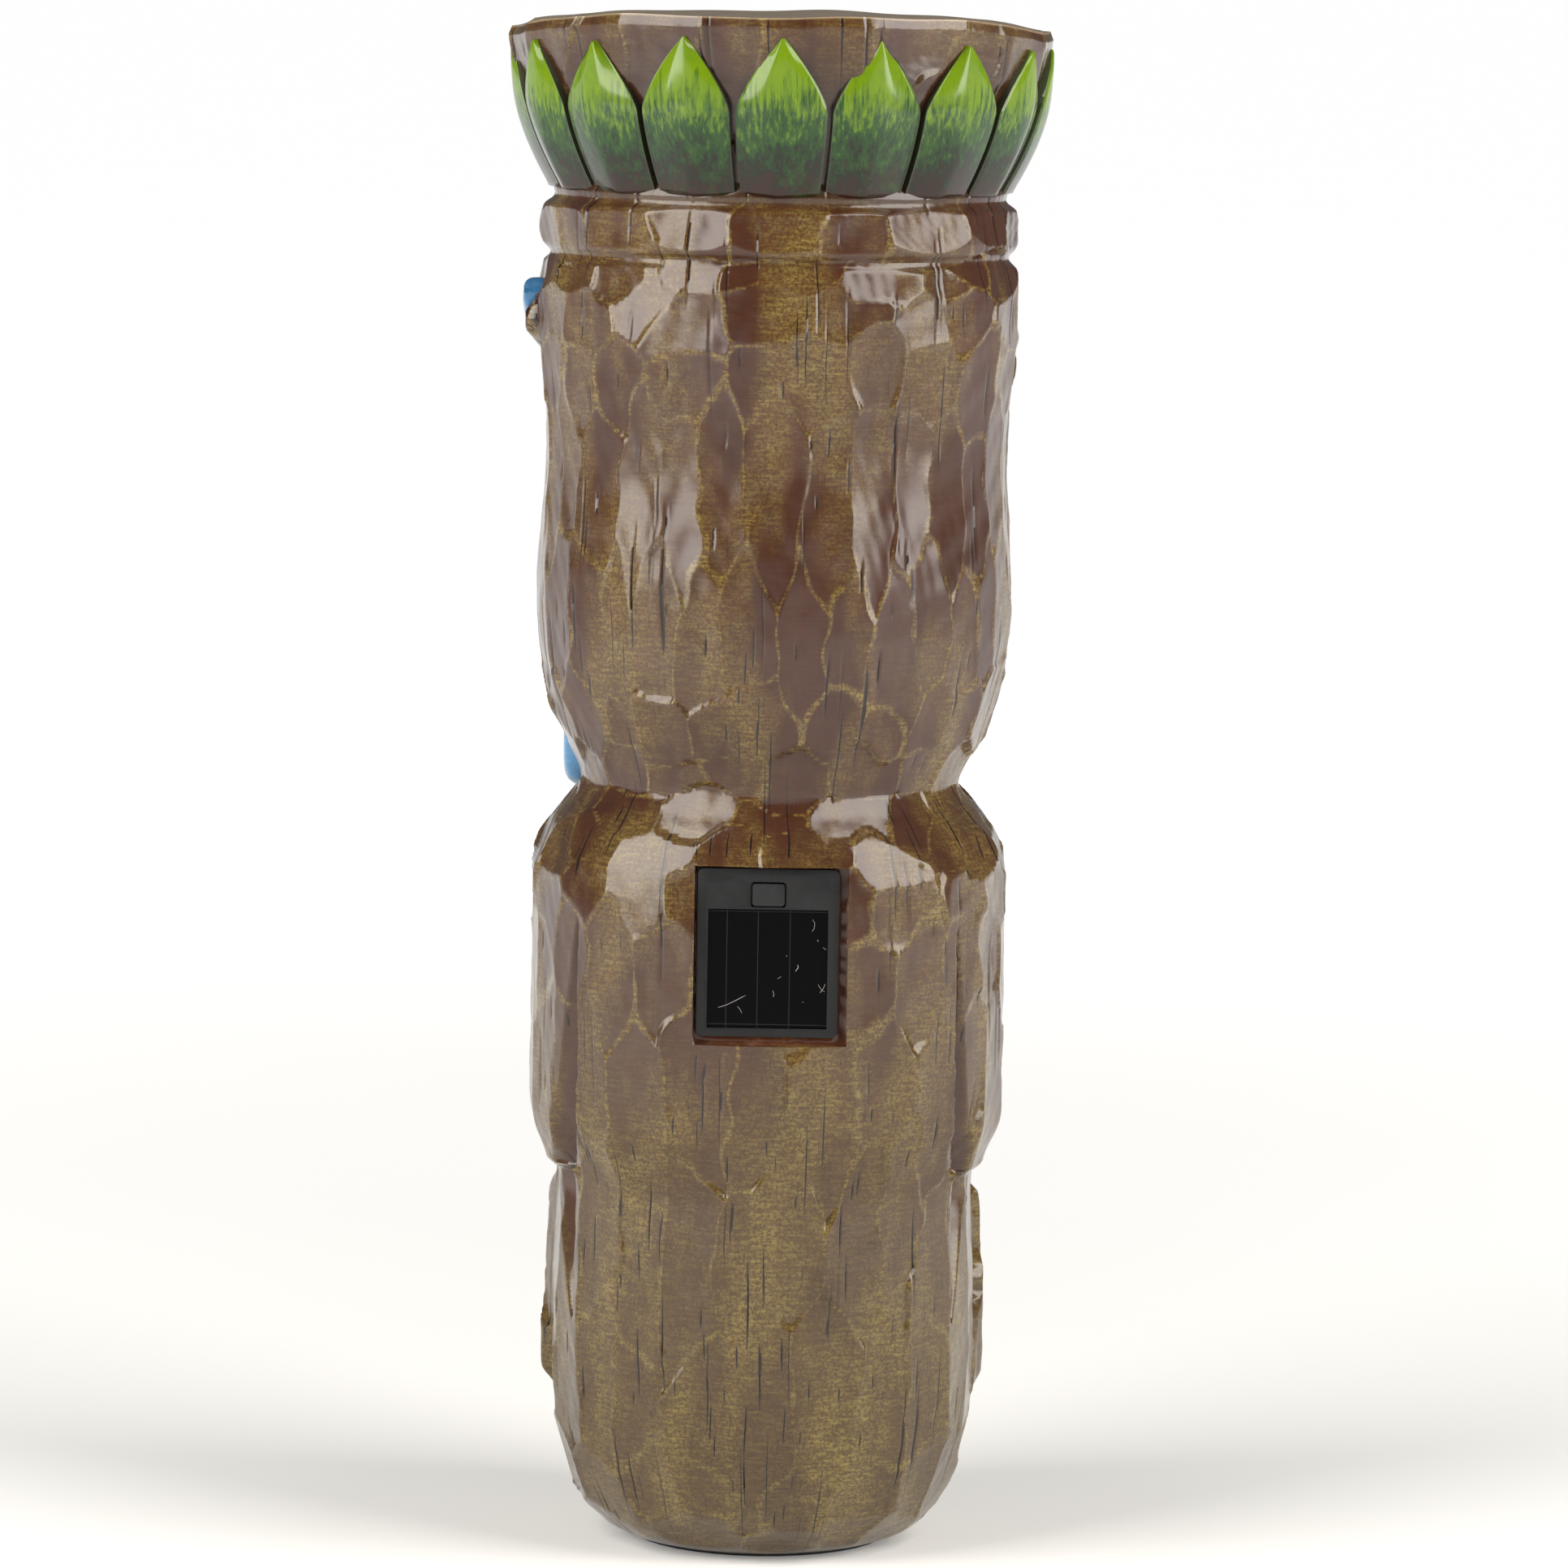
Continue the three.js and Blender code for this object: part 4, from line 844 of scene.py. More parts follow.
def makeNose():
    # a wedge that widens and rises downwards: its half width goes as v^1.8 from the bridge to the nostrils,
    # and its section is a rounded roof with a wing at each side
    across, along = noseShape["steps"]
    s = easedSpan(across)[None, :]
    down = (1 - np.cos(np.linspace(0, 1, along + 1) * math.pi))[:, None] / 2
    z = noseShape["high"] - (noseShape["high"] - noseShape["low"]) * down + 0 * s
    wide = noseShape["bridge"] + (noseShape["tip"] - noseShape["bridge"]) * down ** 1.8
    wide = wide * np.sqrt(np.clip(1 - np.clip((down - 0.8) / 0.2, 0, 1) ** 2 * 0.75, 0, 1))
    turn = faceMiddle - s * wide / meanRadius
    stand = noseShape["bridgeStand"] + (noseShape["tipStand"] - noseShape["bridgeStand"]) * down ** 1.4
    roof = 1 - 0.42 * np.abs(s) ** 1.5
    wing = 0.30 * np.exp(-((np.abs(s) - 0.62) / 0.17) ** 2) * smoothStep(down, 0.55, 0.85)
    edge = quarterRound((1 - np.abs(s)) * 4.5)
    ends = quarterRound(np.minimum(down, 1 - down) * 9)
    body = coreRadius(z, turn)
    front = body - 3 + (stand * (roof + wing) + 3) * edge * ends
    shell = patchShell(onBody(turn, z, front), onBody(turn, z, body - 5.5))
    return joinShells("nose_wedge", [shell])


teethShape = {
    "across": 6, "half": 50, "low": 264, "high": 312, "gap": 1.1, "face": 76.5, "root": 64, "steps": 14,
}


def makeTeeth():
    # two rows of square teeth: each is a block with a domed face, its edges rolled under
    steps = teethShape["steps"]
    s, t = easedSpan(steps)[None, :], easedSpan(steps)[:, None]
    edges = np.linspace(-teethShape["half"], teethShape["half"], teethShape["across"] + 1)
    middle = (teethShape["low"] + teethShape["high"]) / 2
    shells = []
    for low, high in ((teethShape["low"], middle), (middle, teethShape["high"])):
        for left, right in zip(edges[:-1], edges[1:]):
            halfWide = (right - left) / 2 - math.degrees(teethShape["gap"] / 2 / 74)
            halfTall = (high - low - teethShape["gap"]) / 2
            turn = faceTurnAt((left + right) / 2 + s * halfWide) + 0 * t
            z = (low + high) / 2 + t * halfTall + 0 * s
            roll = np.sqrt(np.clip(1 - np.abs(s) ** 7, 0, 1)) * np.sqrt(np.clip(1 - np.abs(t) ** 7, 0, 1))
            aside = np.degrees(faceMiddle - turn)
            face = teethShape["face"] - 5.5 * (aside / 50) ** 2
            neck = teethShape["root"] + 4
            front = neck + (face - neck) * (0.25 + 0.75 * roll) - 0.5 * (s ** 2 + t ** 2)
            shells.append(patchShell(onBody(turn, z, front), onBody(turn, z, teethShape["root"] + 0 * z)))
    return joinShells("teeth", shells)


lensSeat = 68.3  # mm from the figure's axis to where a lens's face starts
# radius and place along the eye's axis of the back of a lens, from the middle of its spigot to its rim, in mm
lensSpigot = [(0.02, -5.5), (4.3, -5.5), (4.4, -5.0), (4.4, -1.1), (4.8, -1.0), (9.6, -1.0), (9.95, -0.7),
              (10.0, -0.2)]


def makeLens(name, eyeTurn, eyeZ):
    # a dome turned round the eye's own axis: a sphere's cap over a short rim and a spigot
    low, high = nodeBox(name)
    angle = ringAngles(72)
    lensRadius = (high[2] - low[2]) / 2
    cap = np.linspace(0.06, 1, 14)[::-1]
    dome = np.stack([lensRadius * cap, 5 * np.sqrt(1 - (0.86 * cap) ** 2) - 2.55], 1)
    profile = np.concatenate([lensSpigot, dome])
    along = np.array([math.sin(eyeTurn), math.cos(eyeTurn), 0])
    around = np.array([math.cos(eyeTurn), -math.sin(eyeTurn), 0])
    base = along * lensSeat + np.array([0, 0, eyeZ])
    ring = np.cos(angle)[:, None] * around + np.sin(angle)[:, None] * np.array([0, 0, 1.0])
    rings = base + profile[:, 0][:, None, None] * ring[None] + profile[:, 1][:, None, None] * along
    return cappedTube(name + "_dome", rings)


brow, lips, nose, teeth = (place(make(), "figure", "cast_resin", "figure_casting")
                           for make in (makeBrow, makeLips, makeNose, makeTeeth))
eyeRims, lenses = [], []
for side, (eyeTurn, eyeZ) in zip(("left", "right"), eyes):
    rim = makeEyeRim("eye_rim_" + side, eyeTurn, eyeZ)
    lens = makeLens("eye_lens_" + side, eyeTurn, eyeZ)
    eyeRims.append(place(rim, "figure", "cast_resin", "figure_casting"))
    lenses.append(place(lens, "figure", "eye_lens", "eye_lens_" + side))
print("face made")


roundedNodes = {
    # copies of frame nodes: how far their edges are rounded in mm, and their slot
    "module_bezel": (0.45, "module_plastic"), "module_tray": (0.5, "module_plastic"),
    "power_button": (0.5, "module_plastic"), "cell_board": (0.12, "circuit_laminate"),
    "circuit_board": (0.12, "circuit_laminate"), "switch_body": (0.2, "module_plastic"),
    "battery": (0.25, "battery_sleeve"), "driver_chip": (0.12, "module_plastic"),
    "base_plate": (0.5, "module_plastic"), "lead_grommet": (0.3, "soft_rubber"),
    **{"module_screw_%d" % number: (0.12, "plated_steel") for number in (1, 2, 3, 4)},
}


def roundedCopy(node, rounding):
    # a copy of a frame node's mesh with its doubles merged, its flat faces joined and its edges rounded
    work = bmesh.new()
    work.from_mesh(nodes[node].data)
    bmesh.ops.remove_doubles(work, verts=work.verts, dist=2e-6)
    bmesh.ops.dissolve_limit(work, angle_limit=math.radians(1), verts=work.verts, edges=work.edges)
    mesh = bpy.data.meshes.new(node + "_rounded")
    work.to_mesh(mesh)
    work.free()
    mesh.polygons.foreach_set("use_smooth", np.full(len(mesh.polygons), True))
    piece = bpy.data.objects.new(node + "_rounded", mesh)
    bpy.context.scene.collection.objects.link(piece)
    bevel = piece.modifiers.new("roundedEdges", "BEVEL")
    bevel.width, bevel.segments, bevel.limit_method = rounding / 1000, 3, "ANGLE"
    bevel.angle_limit, bevel.harden_normals = math.radians(38), True
    return piece


# how far the glue's face lies behind the bezel's on each side, its waves and its sag, in mm; steps along
# and across
beadShape = {
    "left": 3.0, "right": 2.6, "top": 3.5, "bottom": 1.0, "wave": 0.22, "sag": 0.54, "steps": (280, 9),
}


def makeBead():
    # the glue round the module: a ring between the bezel's outline and the pocket's, both as rounded boxes;
    # how far its face lies behind the bezel's face follows the side it is on, with small waves
    along, across = beadShape["steps"]
    angle = ringAngles(along)[:, None]
    cosine, sine = np.cos(angle), np.sin(angle)

    def outline(low, high, power):
        middle, half = (low + high) / 2, (high - low) / 2
        size = (np.abs(cosine / half[0]) ** power + np.abs(sine / half[1]) ** power) ** (-1 / power)
        return middle[0] + size * cosine, middle[1] + size * sine

    inX, inZ = outline(moduleLow[[0, 2]] + 0.3, moduleHigh[[0, 2]] - 0.3, 22)
    outLow = np.array([pocket["right"], pocket["low"]]) - 0.4
    outHigh = np.array([pocket["left"], pocket["high"]]) + 0.4
    outX, outZ = outline(outLow, outHigh, 30)
    share = np.linspace(0, 1, across)[None, :]
    x, z = inX + (outX - inX) * share, inZ + (outZ - inZ) * share
    weights = np.clip(np.stack([cosine, -cosine, sine, -sine]), 0, 1) ** 6
    depths = [beadShape[side] for side in ("left", "right", "top", "bottom")]
    depth = sum(w * d for w, d in zip(weights, depths)) / weights.sum(0)
    wave = np.sin(7 * angle) + 0.7 * np.sin(17 * angle + 1) + 0.5 * np.sin(31 * angle + 2)
    sag = beadShape["sag"] * (2 * share - 1) ** 2
    face = moduleHigh[1] - depth + beadShape["wave"] * wave + sag
    back = np.full_like(face, moduleHigh[1] - 9.5)
    rings = np.concatenate([np.stack([x, face, z], -1), np.stack([x, back, z], -1)[:, ::-1]], 1)
    return outward("sealant_bead", rings, tubeFaces(along, 2 * across, closedRows=True))


lintMarks = [  # x and z in mm from the middle of the cell's window, on the cell's face or the bezel's
    [(-14.4, 16.3), (-15.2, 15.0), (-15.0, 13.4), (-14.3, 12.2)], [(-17.9, 7.2), (-18.6, 6.6), (-19.2, 6.5)],
    [(-9.1, -0.8), (-10.0, 0.4), (-9.8, 1.5)], [(-3.3, -3.4), (-4.6, -2.5)],
    [(-1.9, -7.2), (-2.3, -8.6), (-2.0, -9.3)],
    [(15.9, -13.1), (13.2, -12.2), (10.4, -10.8), (6.9, -8.9)], [(9.6, -12.5), (8.6, -13.6), (8.1, -14.9)],
    [(-16.5, -5.0), (-17.6, -6.6), (-18.8, -7.4)], [(-17.2, -7.8), (-18.3, -6.3), (-18.9, -4.8)],
    [(-11.5, -11.0), (-11.9, -10.7)], [(-6.0, 4.0), (-6.3, 4.3)], [(-16.1, 9.6), (-16.4, 9.1)],
]


def makeLint():
    # threads of lint and rubbed marks that lie on the module: a thin round profile carried along each path
    low, high = nodeBox("cell_cover")
    middleX, middleZ = (low[0] + high[0]) / 2, (low[2] + high[2]) / 2
    shells, quads, triangles = [], [], []
    sides, steps = 6, 17
    count = sides * steps
    spin, around = ringAngles(sides), np.arange(sides)
    for number, mark in enumerate(lintMarks):
        knots = np.array(mark) + np.array([middleX, middleZ])
        t = np.linspace(0, 1, steps)
        path = np.stack([np.interp(t, np.linspace(0, 1, len(knots)), knots[:, k]) for k in (0, 1)], 1)
        for _ in range(2):
            path[1:-1] = (path[:-2] + 2 * path[1:-1] + path[2:]) / 4
        way = np.gradient(path, axis=0)
        way /= np.linalg.norm(way, axis=1)[:, None]
        thick = (0.055 + 0.02 * (number % 3)) * np.sqrt(np.clip(np.minimum(t, 1 - t) * 8 + 0.05, 0, 1))
        aside = np.stack([way[:, 1], -way[:, 0]], 1)[:, None]
        ring = path[:, None, :] + (thick[:, None] * np.cos(spin))[..., None] * aside
        y = high[1] + 0.05 + (thick[:, None] * np.sin(spin)) * 0.6
        points = np.stack([ring[..., 0], y, ring[..., 1]], -1).reshape(-1, 3)
        shells.append(np.concatenate([points, [points[:sides].mean(0)], [points[-sides:].mean(0)]]))
        start = number * (count + 2)
        quads.append(tubeFaces(steps, sides) + start)
        caps = fan(count, around, True), fan(count + 1, around + count - sides)
        triangles.append(np.concatenate(caps) + start)
    return outward("lint_marks", *(np.concatenate(parts) for parts in (shells, quads, triangles)))


bead = place(makeBead(), "figure", "sealant", "module_sealant")
lint = place(makeLint(), "figure", "cell_cover")
rounded = {}
for node, (rounding, slot) in roundedNodes.items():
    body = "power_button" if node == "power_button" else "figure"
    rounded[node] = place(roundedCopy(node, rounding), body, slot, node)
print("module made")


def linear(hexColour):
    # sRGB hex to the linear colour that shaders work in
    channels = [int(hexColour[i:i + 2], 16) / 255 for i in (1, 3, 5)]
    return [*(c / 12.92 if c <= 0.04045 else ((c + 0.055) / 1.055) ** 2.4 for c in channels), 1]


def add(tree, kind, **inputs):
    # adds a node; a setting is named in small letters, an input with a capital, or i0, i1 ... by its place,
    # and an input takes a value, a colour, a node or a socket
    node = tree.nodes.new("ShaderNode" + kind)
    for key, value in inputs.items():
        byPlace = key[0] == "i" and key[1:].isdigit()
        if key[0].islower() and not byPlace:
            setattr(node, key, value)
            continue
        socket = node.inputs[int(key[1:]) if byPlace else key.replace("_", " ")]
        if isinstance(value, str):
            value = linear(value)
        if isinstance(value, bpy.types.Node):
            value = value.outputs[0]
        if isinstance(value, bpy.types.NodeSocket):
            tree.links.new(value, socket)
        else:
            socket.default_value = value
    return node


def newMaterial(name, **shaderInputs):
    # a material with one Principled shader, a function that adds a node to it, the shader, and the Object
    # coordinates in millimetres
    material = bpy.data.materials.new(name)
    material.use_nodes = True
    tree = material.node_tree
    tree.nodes.clear()
    shader = add(tree, "BsdfPrincipled", **shaderInputs)
    add(tree, "OutputMaterial", Surface=shader)
    coordinates = add(tree, "TexCoord")
    mm = add(tree, "Mapping", Vector=coordinates.outputs["Object"], Scale=(1000, 1000, 1000))
    return material, partial(add, tree), shader, mm


def wire(shader, **inputs):
    # links nodes to the shader's inputs
    for key, value in inputs.items():
        shader.id_data.links.new(value.outputs[0], shader.inputs[key.replace("_", " ")])


def paintedResin():
    # polyresin cast from a carved log and painted by hand: a red-brown base coat, darker wash left in the
    # cuts, olive tan brushed dry over the ridges with short strokes across them, and a clear gloss lacquer;
    # painted shade darkens the bowl behind the leaves and, with the dark wash, the splits
    material, node, shader, mm = newMaterial(
        "paintedResin", Roughness=0.55, Specular_IOR_Level=0.05, Coat_Weight=1, Coat_Roughness=0.17)
    ridge, split, hollow, lid, sunk = (node("Attribute", attribute_name=key).outputs["Fac"]
                                       for key in ("ridge", "split", "hollow", "lid", "sunk"))
    height = node("SeparateXYZ", Vector=mm).outputs["Z"]
    tall = node("Mapping", Vector=mm, Scale=(1, 1, 0.35))
    grainWay = node("Mapping", Vector=mm, Scale=(1, 1, 0.07))
    acrossWay = node("Mapping", Vector=mm, Scale=(0.12, 0.12, 1))
    broad = node("TexNoise", Vector=tall, Scale=1 / 24, Detail=3, Roughness=0.55)
    patch = node("TexNoise", Vector=tall, Scale=1 / 8, Detail=5, Roughness=0.65, Distortion=0.6)
    grain = node("TexNoise", Vector=grainWay, Scale=1 / 1.3, Detail=4, Roughness=0.7)
    strokes = node("TexNoise", Vector=acrossWay, Scale=1 / 0.9, Detail=4, Roughness=0.7)
    speck = node("TexNoise", Vector=mm, Scale=1 / 1.1, Detail=5, Roughness=0.8)
    # base coat: browns that wander, yellower and greyer towards the foot
    warm = node("MapRange", Value=broad, From_Min=0.36, From_Max=0.64)
    base = node("MixRGB", Fac=warm, Color1="#3a1b10", Color2="#432611")
    low = node("MapRange", interpolation_type="SMOOTHSTEP", Value=height, From_Min=240, From_Max=60)
    tanLow = node("Math", operation="MULTIPLY", i0=low, i1=0.55)
    base = node("MixRGB", Fac=tanLow, Color1=base, Color2="#463620")
    mottled = node("MapRange", Value=patch, From_Min=0.4, From_Max=0.68)
    mottle = node("Math", operation="MULTIPLY", i0=mottled, i1=0.55)
    base = node("MixRGB", Fac=mottle, Color1=base, Color2="#2c140c")
    # tan brushed dry: it takes on the ridges between cuts, in loose patches, and more of it towards the foot
    streaks = node("MapRange", Value=strokes, From_Min=0.42, From_Max=0.62)
    specks = node("MapRange", Value=speck, From_Min=0.45, From_Max=0.56)
    brushed = node("Math", operation="MULTIPLY_ADD", i0=streaks, i1=0.6, i2=0.4)
    specks = node("Math", operation="MULTIPLY_ADD", i0=specks, i1=0.88, i2=0.12)
    brushed = node("Math", operation="MULTIPLY", i0=brushed, i1=specks)
    wander = node("MapRange", Value=patch, From_Min=0.35, From_Max=0.65, To_Min=0.3, To_Max=-0.25)
    onRidge = node("Math", operation="ADD", i0=ridge, i1=wander)
    onRidge = node("MapRange", Value=onRidge, From_Min=0.4, From_Max=1.0, To_Max=0.95)
    looseArea = node("MapRange", Value=broad, From_Min=0.44, From_Max=0.66, To_Min=0.07, To_Max=0.8)
    lowLoose = node("Math", operation="MULTIPLY", i0=low, i1=0.32)
    looseArea = node("Math", operation="ADD", i0=looseArea, i1=lowLoose)
    area = node("Math", operation="MAXIMUM", i0=onRidge, i1=looseArea)
    tan = node("Math", operation="MULTIPLY", i0=brushed, i1=area)
    colour = node("MixRGB", Fac=tan, Color1=base, Color2="#8a783e")
    # grain: dark thin lines up the log where the wash stayed; the splits are darkened further on
    lines = node("MapRange", Value=grain, From_Min=0.38, From_Max=0.30)
    lineShare = node("Math", operation="MULTIPLY", i0=lines, i1=0.6)
    colour = node("MixRGB", Fac=lineShare, Color1=colour, Color2="#28150f")
    inHollow = node("MapRange", Value=hollow, From_Min=0.08, From_Max=0.4)
    hollowShare = node("Math", operation="MULTIPLY", i0=inHollow, i1=0.75)
    colour = node("MixRGB", Fac=hollowShare, Color1=colour, Color2="#48302a")
    grit = node("MapRange", Value=speck, From_Min=0.3, From_Max=0.7, To_Min=0.38, To_Max=-0.38)
    grit = node("Math", operation="ADD", i0=grit, i1=1.0)
    colour = node("HueSaturation", Value=grit, Color=colour)
    # painted shade: the bowl sunk in behind and between the leaves is darkened from the leaves' base up,
    # fading out towards the rim
    smooth = {"interpolation_type": "SMOOTHSTEP"}
    over = node("MapRange", **smooth, Value=height, From_Min=446, From_Max=453, To_Max=0.7)
    under = node("MapRange", **smooth, Value=height, From_Min=505, From_Max=486)
    behindLeavesShade = node("Math", operation="MULTIPLY", i0=over, i1=under)
    colour = node("MixRGB", Fac=behindLeavesShade, Color1=colour, Color2="#2a150d")
    # the splits are painted near black: the dark wash that settles in them, and painted shade down in them
    # that their shallow cut does not cast
    splitWashAndShade = node("MapRange", Value=split, From_Min=0.3, From_Max=0.55)
    colour = node("MixRGB", Fac=splitWashAndShade, Color1=colour, Color2="#160c08")
    colour = node("MixRGB", Fac=sunk, Color1=colour, Color2="#5b3a22")
    # the flat top is painted pale beige in patches, lighter than the sides
    flatTop = node("MapRange", Value=patch, From_Min=0.3, From_Max=0.7, To_Min=0.95, To_Max=0.55)
    flatTop = node("Math", operation="MULTIPLY", i0=flatTop, i1=lid)
    colour = node("MixRGB", Fac=flatTop, Color1=colour, Color2="#a59174")
    rough = node("MapRange", Value=patch, From_Min=0.3, From_Max=0.7, To_Min=0.42, To_Max=0.6)
    fine = node("Math", operation="ADD", i0=grain, i1=strokes)
    bump = node("Bump", Strength=0.22, Distance=0.0004, Height=fine)
    lacquer = node("Bump", Strength=0.10, Distance=0.0003, Height=speck)
    wire(shader, Base_Color=colour, Roughness=rough, Normal=bump, Coat_Normal=lacquer)
    return material


def leafPaint():
    # the same resin, painted green: dark green from the base, yellow-green brushed dry towards the tip, and
    # painted shade along each leaf's edges
    material, node, shader, mm = newMaterial(
        "leafPaint", Roughness=0.5, Specular_IOR_Level=0.05, Coat_Weight=0.8, Coat_Roughness=0.13)
    height = node("Attribute", attribute_name="leafHeight").outputs["Fac"]
    edge = node("Attribute", attribute_name="leafEdge").outputs["Fac"]
    upWay = node("Mapping", Vector=mm, Scale=(1, 1, 0.06))
    strokes = node("TexNoise", Vector=upWay, Scale=1 / 1.5, Detail=4, Roughness=0.7)
    patch = node("TexNoise", Vector=mm, Scale=1 / 8, Detail=4, Roughness=0.6)
    streak = node("Math", operation="MULTIPLY_ADD", i0=strokes, i1=1.1, i2=-0.55)
    level = node("Math", operation="ADD", i0=height, i1=streak)
    wander = node("Math", operation="MULTIPLY_ADD", i0=patch, i1=0.4, i2=-0.2)
    level = node("Math", operation="ADD", i0=level, i1=wander)
    green = node("MapRange", Value=level, From_Min=0.2, From_Max=0.42)
    bright = node("MapRange", Value=level, From_Min=0.46, From_Max=0.7)
    worn = node("MapRange", Value=patch, From_Min=0.5, From_Max=0.72)
    colour = node("MixRGB", Fac=green, Color1="#111b0e", Color2="#1a3d10")
    colour = node("MixRGB", Fac=bright, Color1=colour, Color2="#5f7a03")
    brown = node("MapRange", Value=level, From_Min=0.2, From_Max=0.0)
    colour = node("MixRGB", Fac=brown, Color1=colour, Color2="#2a150d")
    worn = node("Math", operation="MULTIPLY", i0=worn, i1=0.35)
    colour = node("MixRGB", Fac=worn, Color1=colour, Color2="#35561a")
    # painted shade: each leaf darkens along its edges, where it turns down into the groove beside the next
    dark = node("MapRange", Value=edge, From_Min=0.95, From_Max=1.0)
    colour = node("MixRGB", Fac=dark, Color1=colour, Color2="#2c3020")
    bump = node("Bump", Strength=0.3, Distance=0.0006, Height=strokes)
    wire(shader, Base_Color=colour, Normal=bump)
    return material


def brushedPaint(name, base, light, dark, roughness=0.4):
    # brush-painted resin: streaks of a lighter and a darker shade of one paint, with brush marks in it
    material, node, shader, mm = newMaterial(
        name, Roughness=roughness, IOR=1.5, Specular_IOR_Level=0.1, Coat_Weight=0.9, Coat_Roughness=0.16)
    strokeWay = node("Mapping", Vector=mm, Scale=(0.3, 0.3, 1))
    strokes = node("TexNoise", Vector=strokeWay, Scale=1 / 1.6, Detail=4, Roughness=0.65)
    patch = node("TexNoise", Vector=mm, Scale=1 / 11, Detail=4, Roughness=0.6)
    lighter = node("MapRange", Value=strokes, From_Min=0.5, From_Max=0.7)
    darker = node("MapRange", Value=patch, From_Min=0.5, From_Max=0.3)
    colour = node("MixRGB", Fac=lighter, Color1=base, Color2=light)
    colour = node("MixRGB", Fac=darker, Color1=colour, Color2=dark)
    bump = node("Bump", Strength=0.3, Distance=0.0005, Height=strokes)
    wire(shader, Base_Color=colour, Normal=bump)
    return material


def mouldedPlastic(name, colour, speck, roughness, grit=0.35):
    # injection-moulded plastic: a fine spark-eroded grain, drawn grit mm wide so that it shows, and rubs
    material, node, shader, mm = newMaterial(name, Roughness=roughness, IOR=1.46)
    grain = node("TexNoise", Vector=mm, Scale=1 / grit, Detail=2, Roughness=0.6)
    rubs = node("TexNoise", Vector=mm, Scale=1 / 7, Detail=5, Roughness=0.7)
    worn = node("MapRange", Value=rubs, From_Min=0.5, From_Max=0.75)
    tone = node("MixRGB", Fac=worn, Color1=colour, Color2=speck)
    lowest, highest = roughness - 0.05, roughness + 0.1
    rough = node("MapRange", Value=rubs, From_Min=0.3, From_Max=0.7, To_Min=lowest, To_Max=highest)
    bump = node("Bump", Strength=0.12, Distance=0.0002, Height=grain)
    wire(shader, Base_Color=tone, Roughness=rough, Normal=bump)
    return material


def metalFinish(name, colour, dark, roughness):
    # bright metal with faint turning marks and a little tarnish
    material, node, shader, mm = newMaterial(name, Metallic=1, Roughness=roughness)
    marks = node("TexNoise", Vector=mm, Scale=1 / 0.4, Detail=3)
    tarnish = node("TexNoise", Vector=mm, Scale=1 / 3, Detail=4)
    share = node("MapRange", Value=tarnish, From_Min=0.45, From_Max=0.75)
    tone = node("MixRGB", Fac=share, Color1=colour, Color2=dark)
    bump = node("Bump", Strength=0.1, Distance=0.0001, Height=marks)
    wire(shader, Base_Color=tone, Normal=bump)
    return material


def clearResin(name, tint, clear):
    # milky acrylic of an eye lens: light passes, softened by the filler and a fine etched face
    material, node, shader, mm = newMaterial(name, Transmission_Weight=clear, IOR=1.49)
    frost = node("TexNoise", Vector=mm, Scale=1 / 0.5, Detail=3)
    haze = node("TexNoise", Vector=mm, Scale=1 / 5, Detail=3)
    rough = node("MapRange", Value=haze, From_Min=0.3, From_Max=0.7, To_Min=0.22, To_Max=0.34)
    tone = node("MixRGB", Fac=haze, Color1=tint, Color2="#fff4dd")
    bump = node("Bump", Strength=0.1, Distance=0.0001, Height=frost)
    wire(shader, Base_Color=tone, Roughness=rough, Normal=bump)
    return material


busLines = [("X", 13.3), ("X", 3.2), ("X", -7.2), ("Z", 182.4), ("Z", 219.4)]  # mm


def cellFace():
    # silicon under a clear polyester film: nearly black, with thin printed bus lines and fine rubs. A real
    # film's IOR is about 1.6; 1.16 takes off most of its mirror of the surround, so that the cell stays dark
    material, node, shader, mm = newMaterial("cellFace", Roughness=0.2, IOR=1.16)
    rubs = node("TexNoise", Vector=mm, Scale=1 / 6, Detail=6, Roughness=0.7)
    share = node("MapRange", Value=rubs, From_Min=0.45, From_Max=0.75)
    tone = node("MixRGB", Fac=share, Color1="#020102", Color2="#060507")
    # the lines: how far a point lies from the nearest of three upright lines and two level ones
    position = node("SeparateXYZ", Vector=mm)
    nearest = None
    for axis, at in busLines:
        offset = node("Math", operation="SUBTRACT", i0=position.outputs[axis], i1=at)
        away = node("Math", operation="ABSOLUTE", i0=offset)
        nearest = away if nearest is None else node("Math", operation="MINIMUM", i0=nearest, i1=away)
    line = node("MapRange", Value=nearest, From_Min=0.16, From_Max=0.08, To_Max=0.5)
    tone = node("MixRGB", Fac=line, Color1=tone, Color2="#39383c")
    rough = node("MapRange", Value=rubs, From_Min=0.3, From_Max=0.7, To_Min=0.16, To_Max=0.3)
    wire(shader, Base_Color=tone, Roughness=rough)
    return material


resin = paintedResin()
blackPlastic = mouldedPlastic("blackAbs", "#08080a", "#121215", 0.46)
buttonPlastic = mouldedPlastic("buttonAbs", "#121214", "#1c1c1e", 0.48)
bluePaint = brushedPaint("bluePaint", "#3f749e", "#4d86b4", "#2d5f88")
creamPaint = brushedPaint("creamPaint", "#d9cba4", "#e8dfc2", "#a8946a")
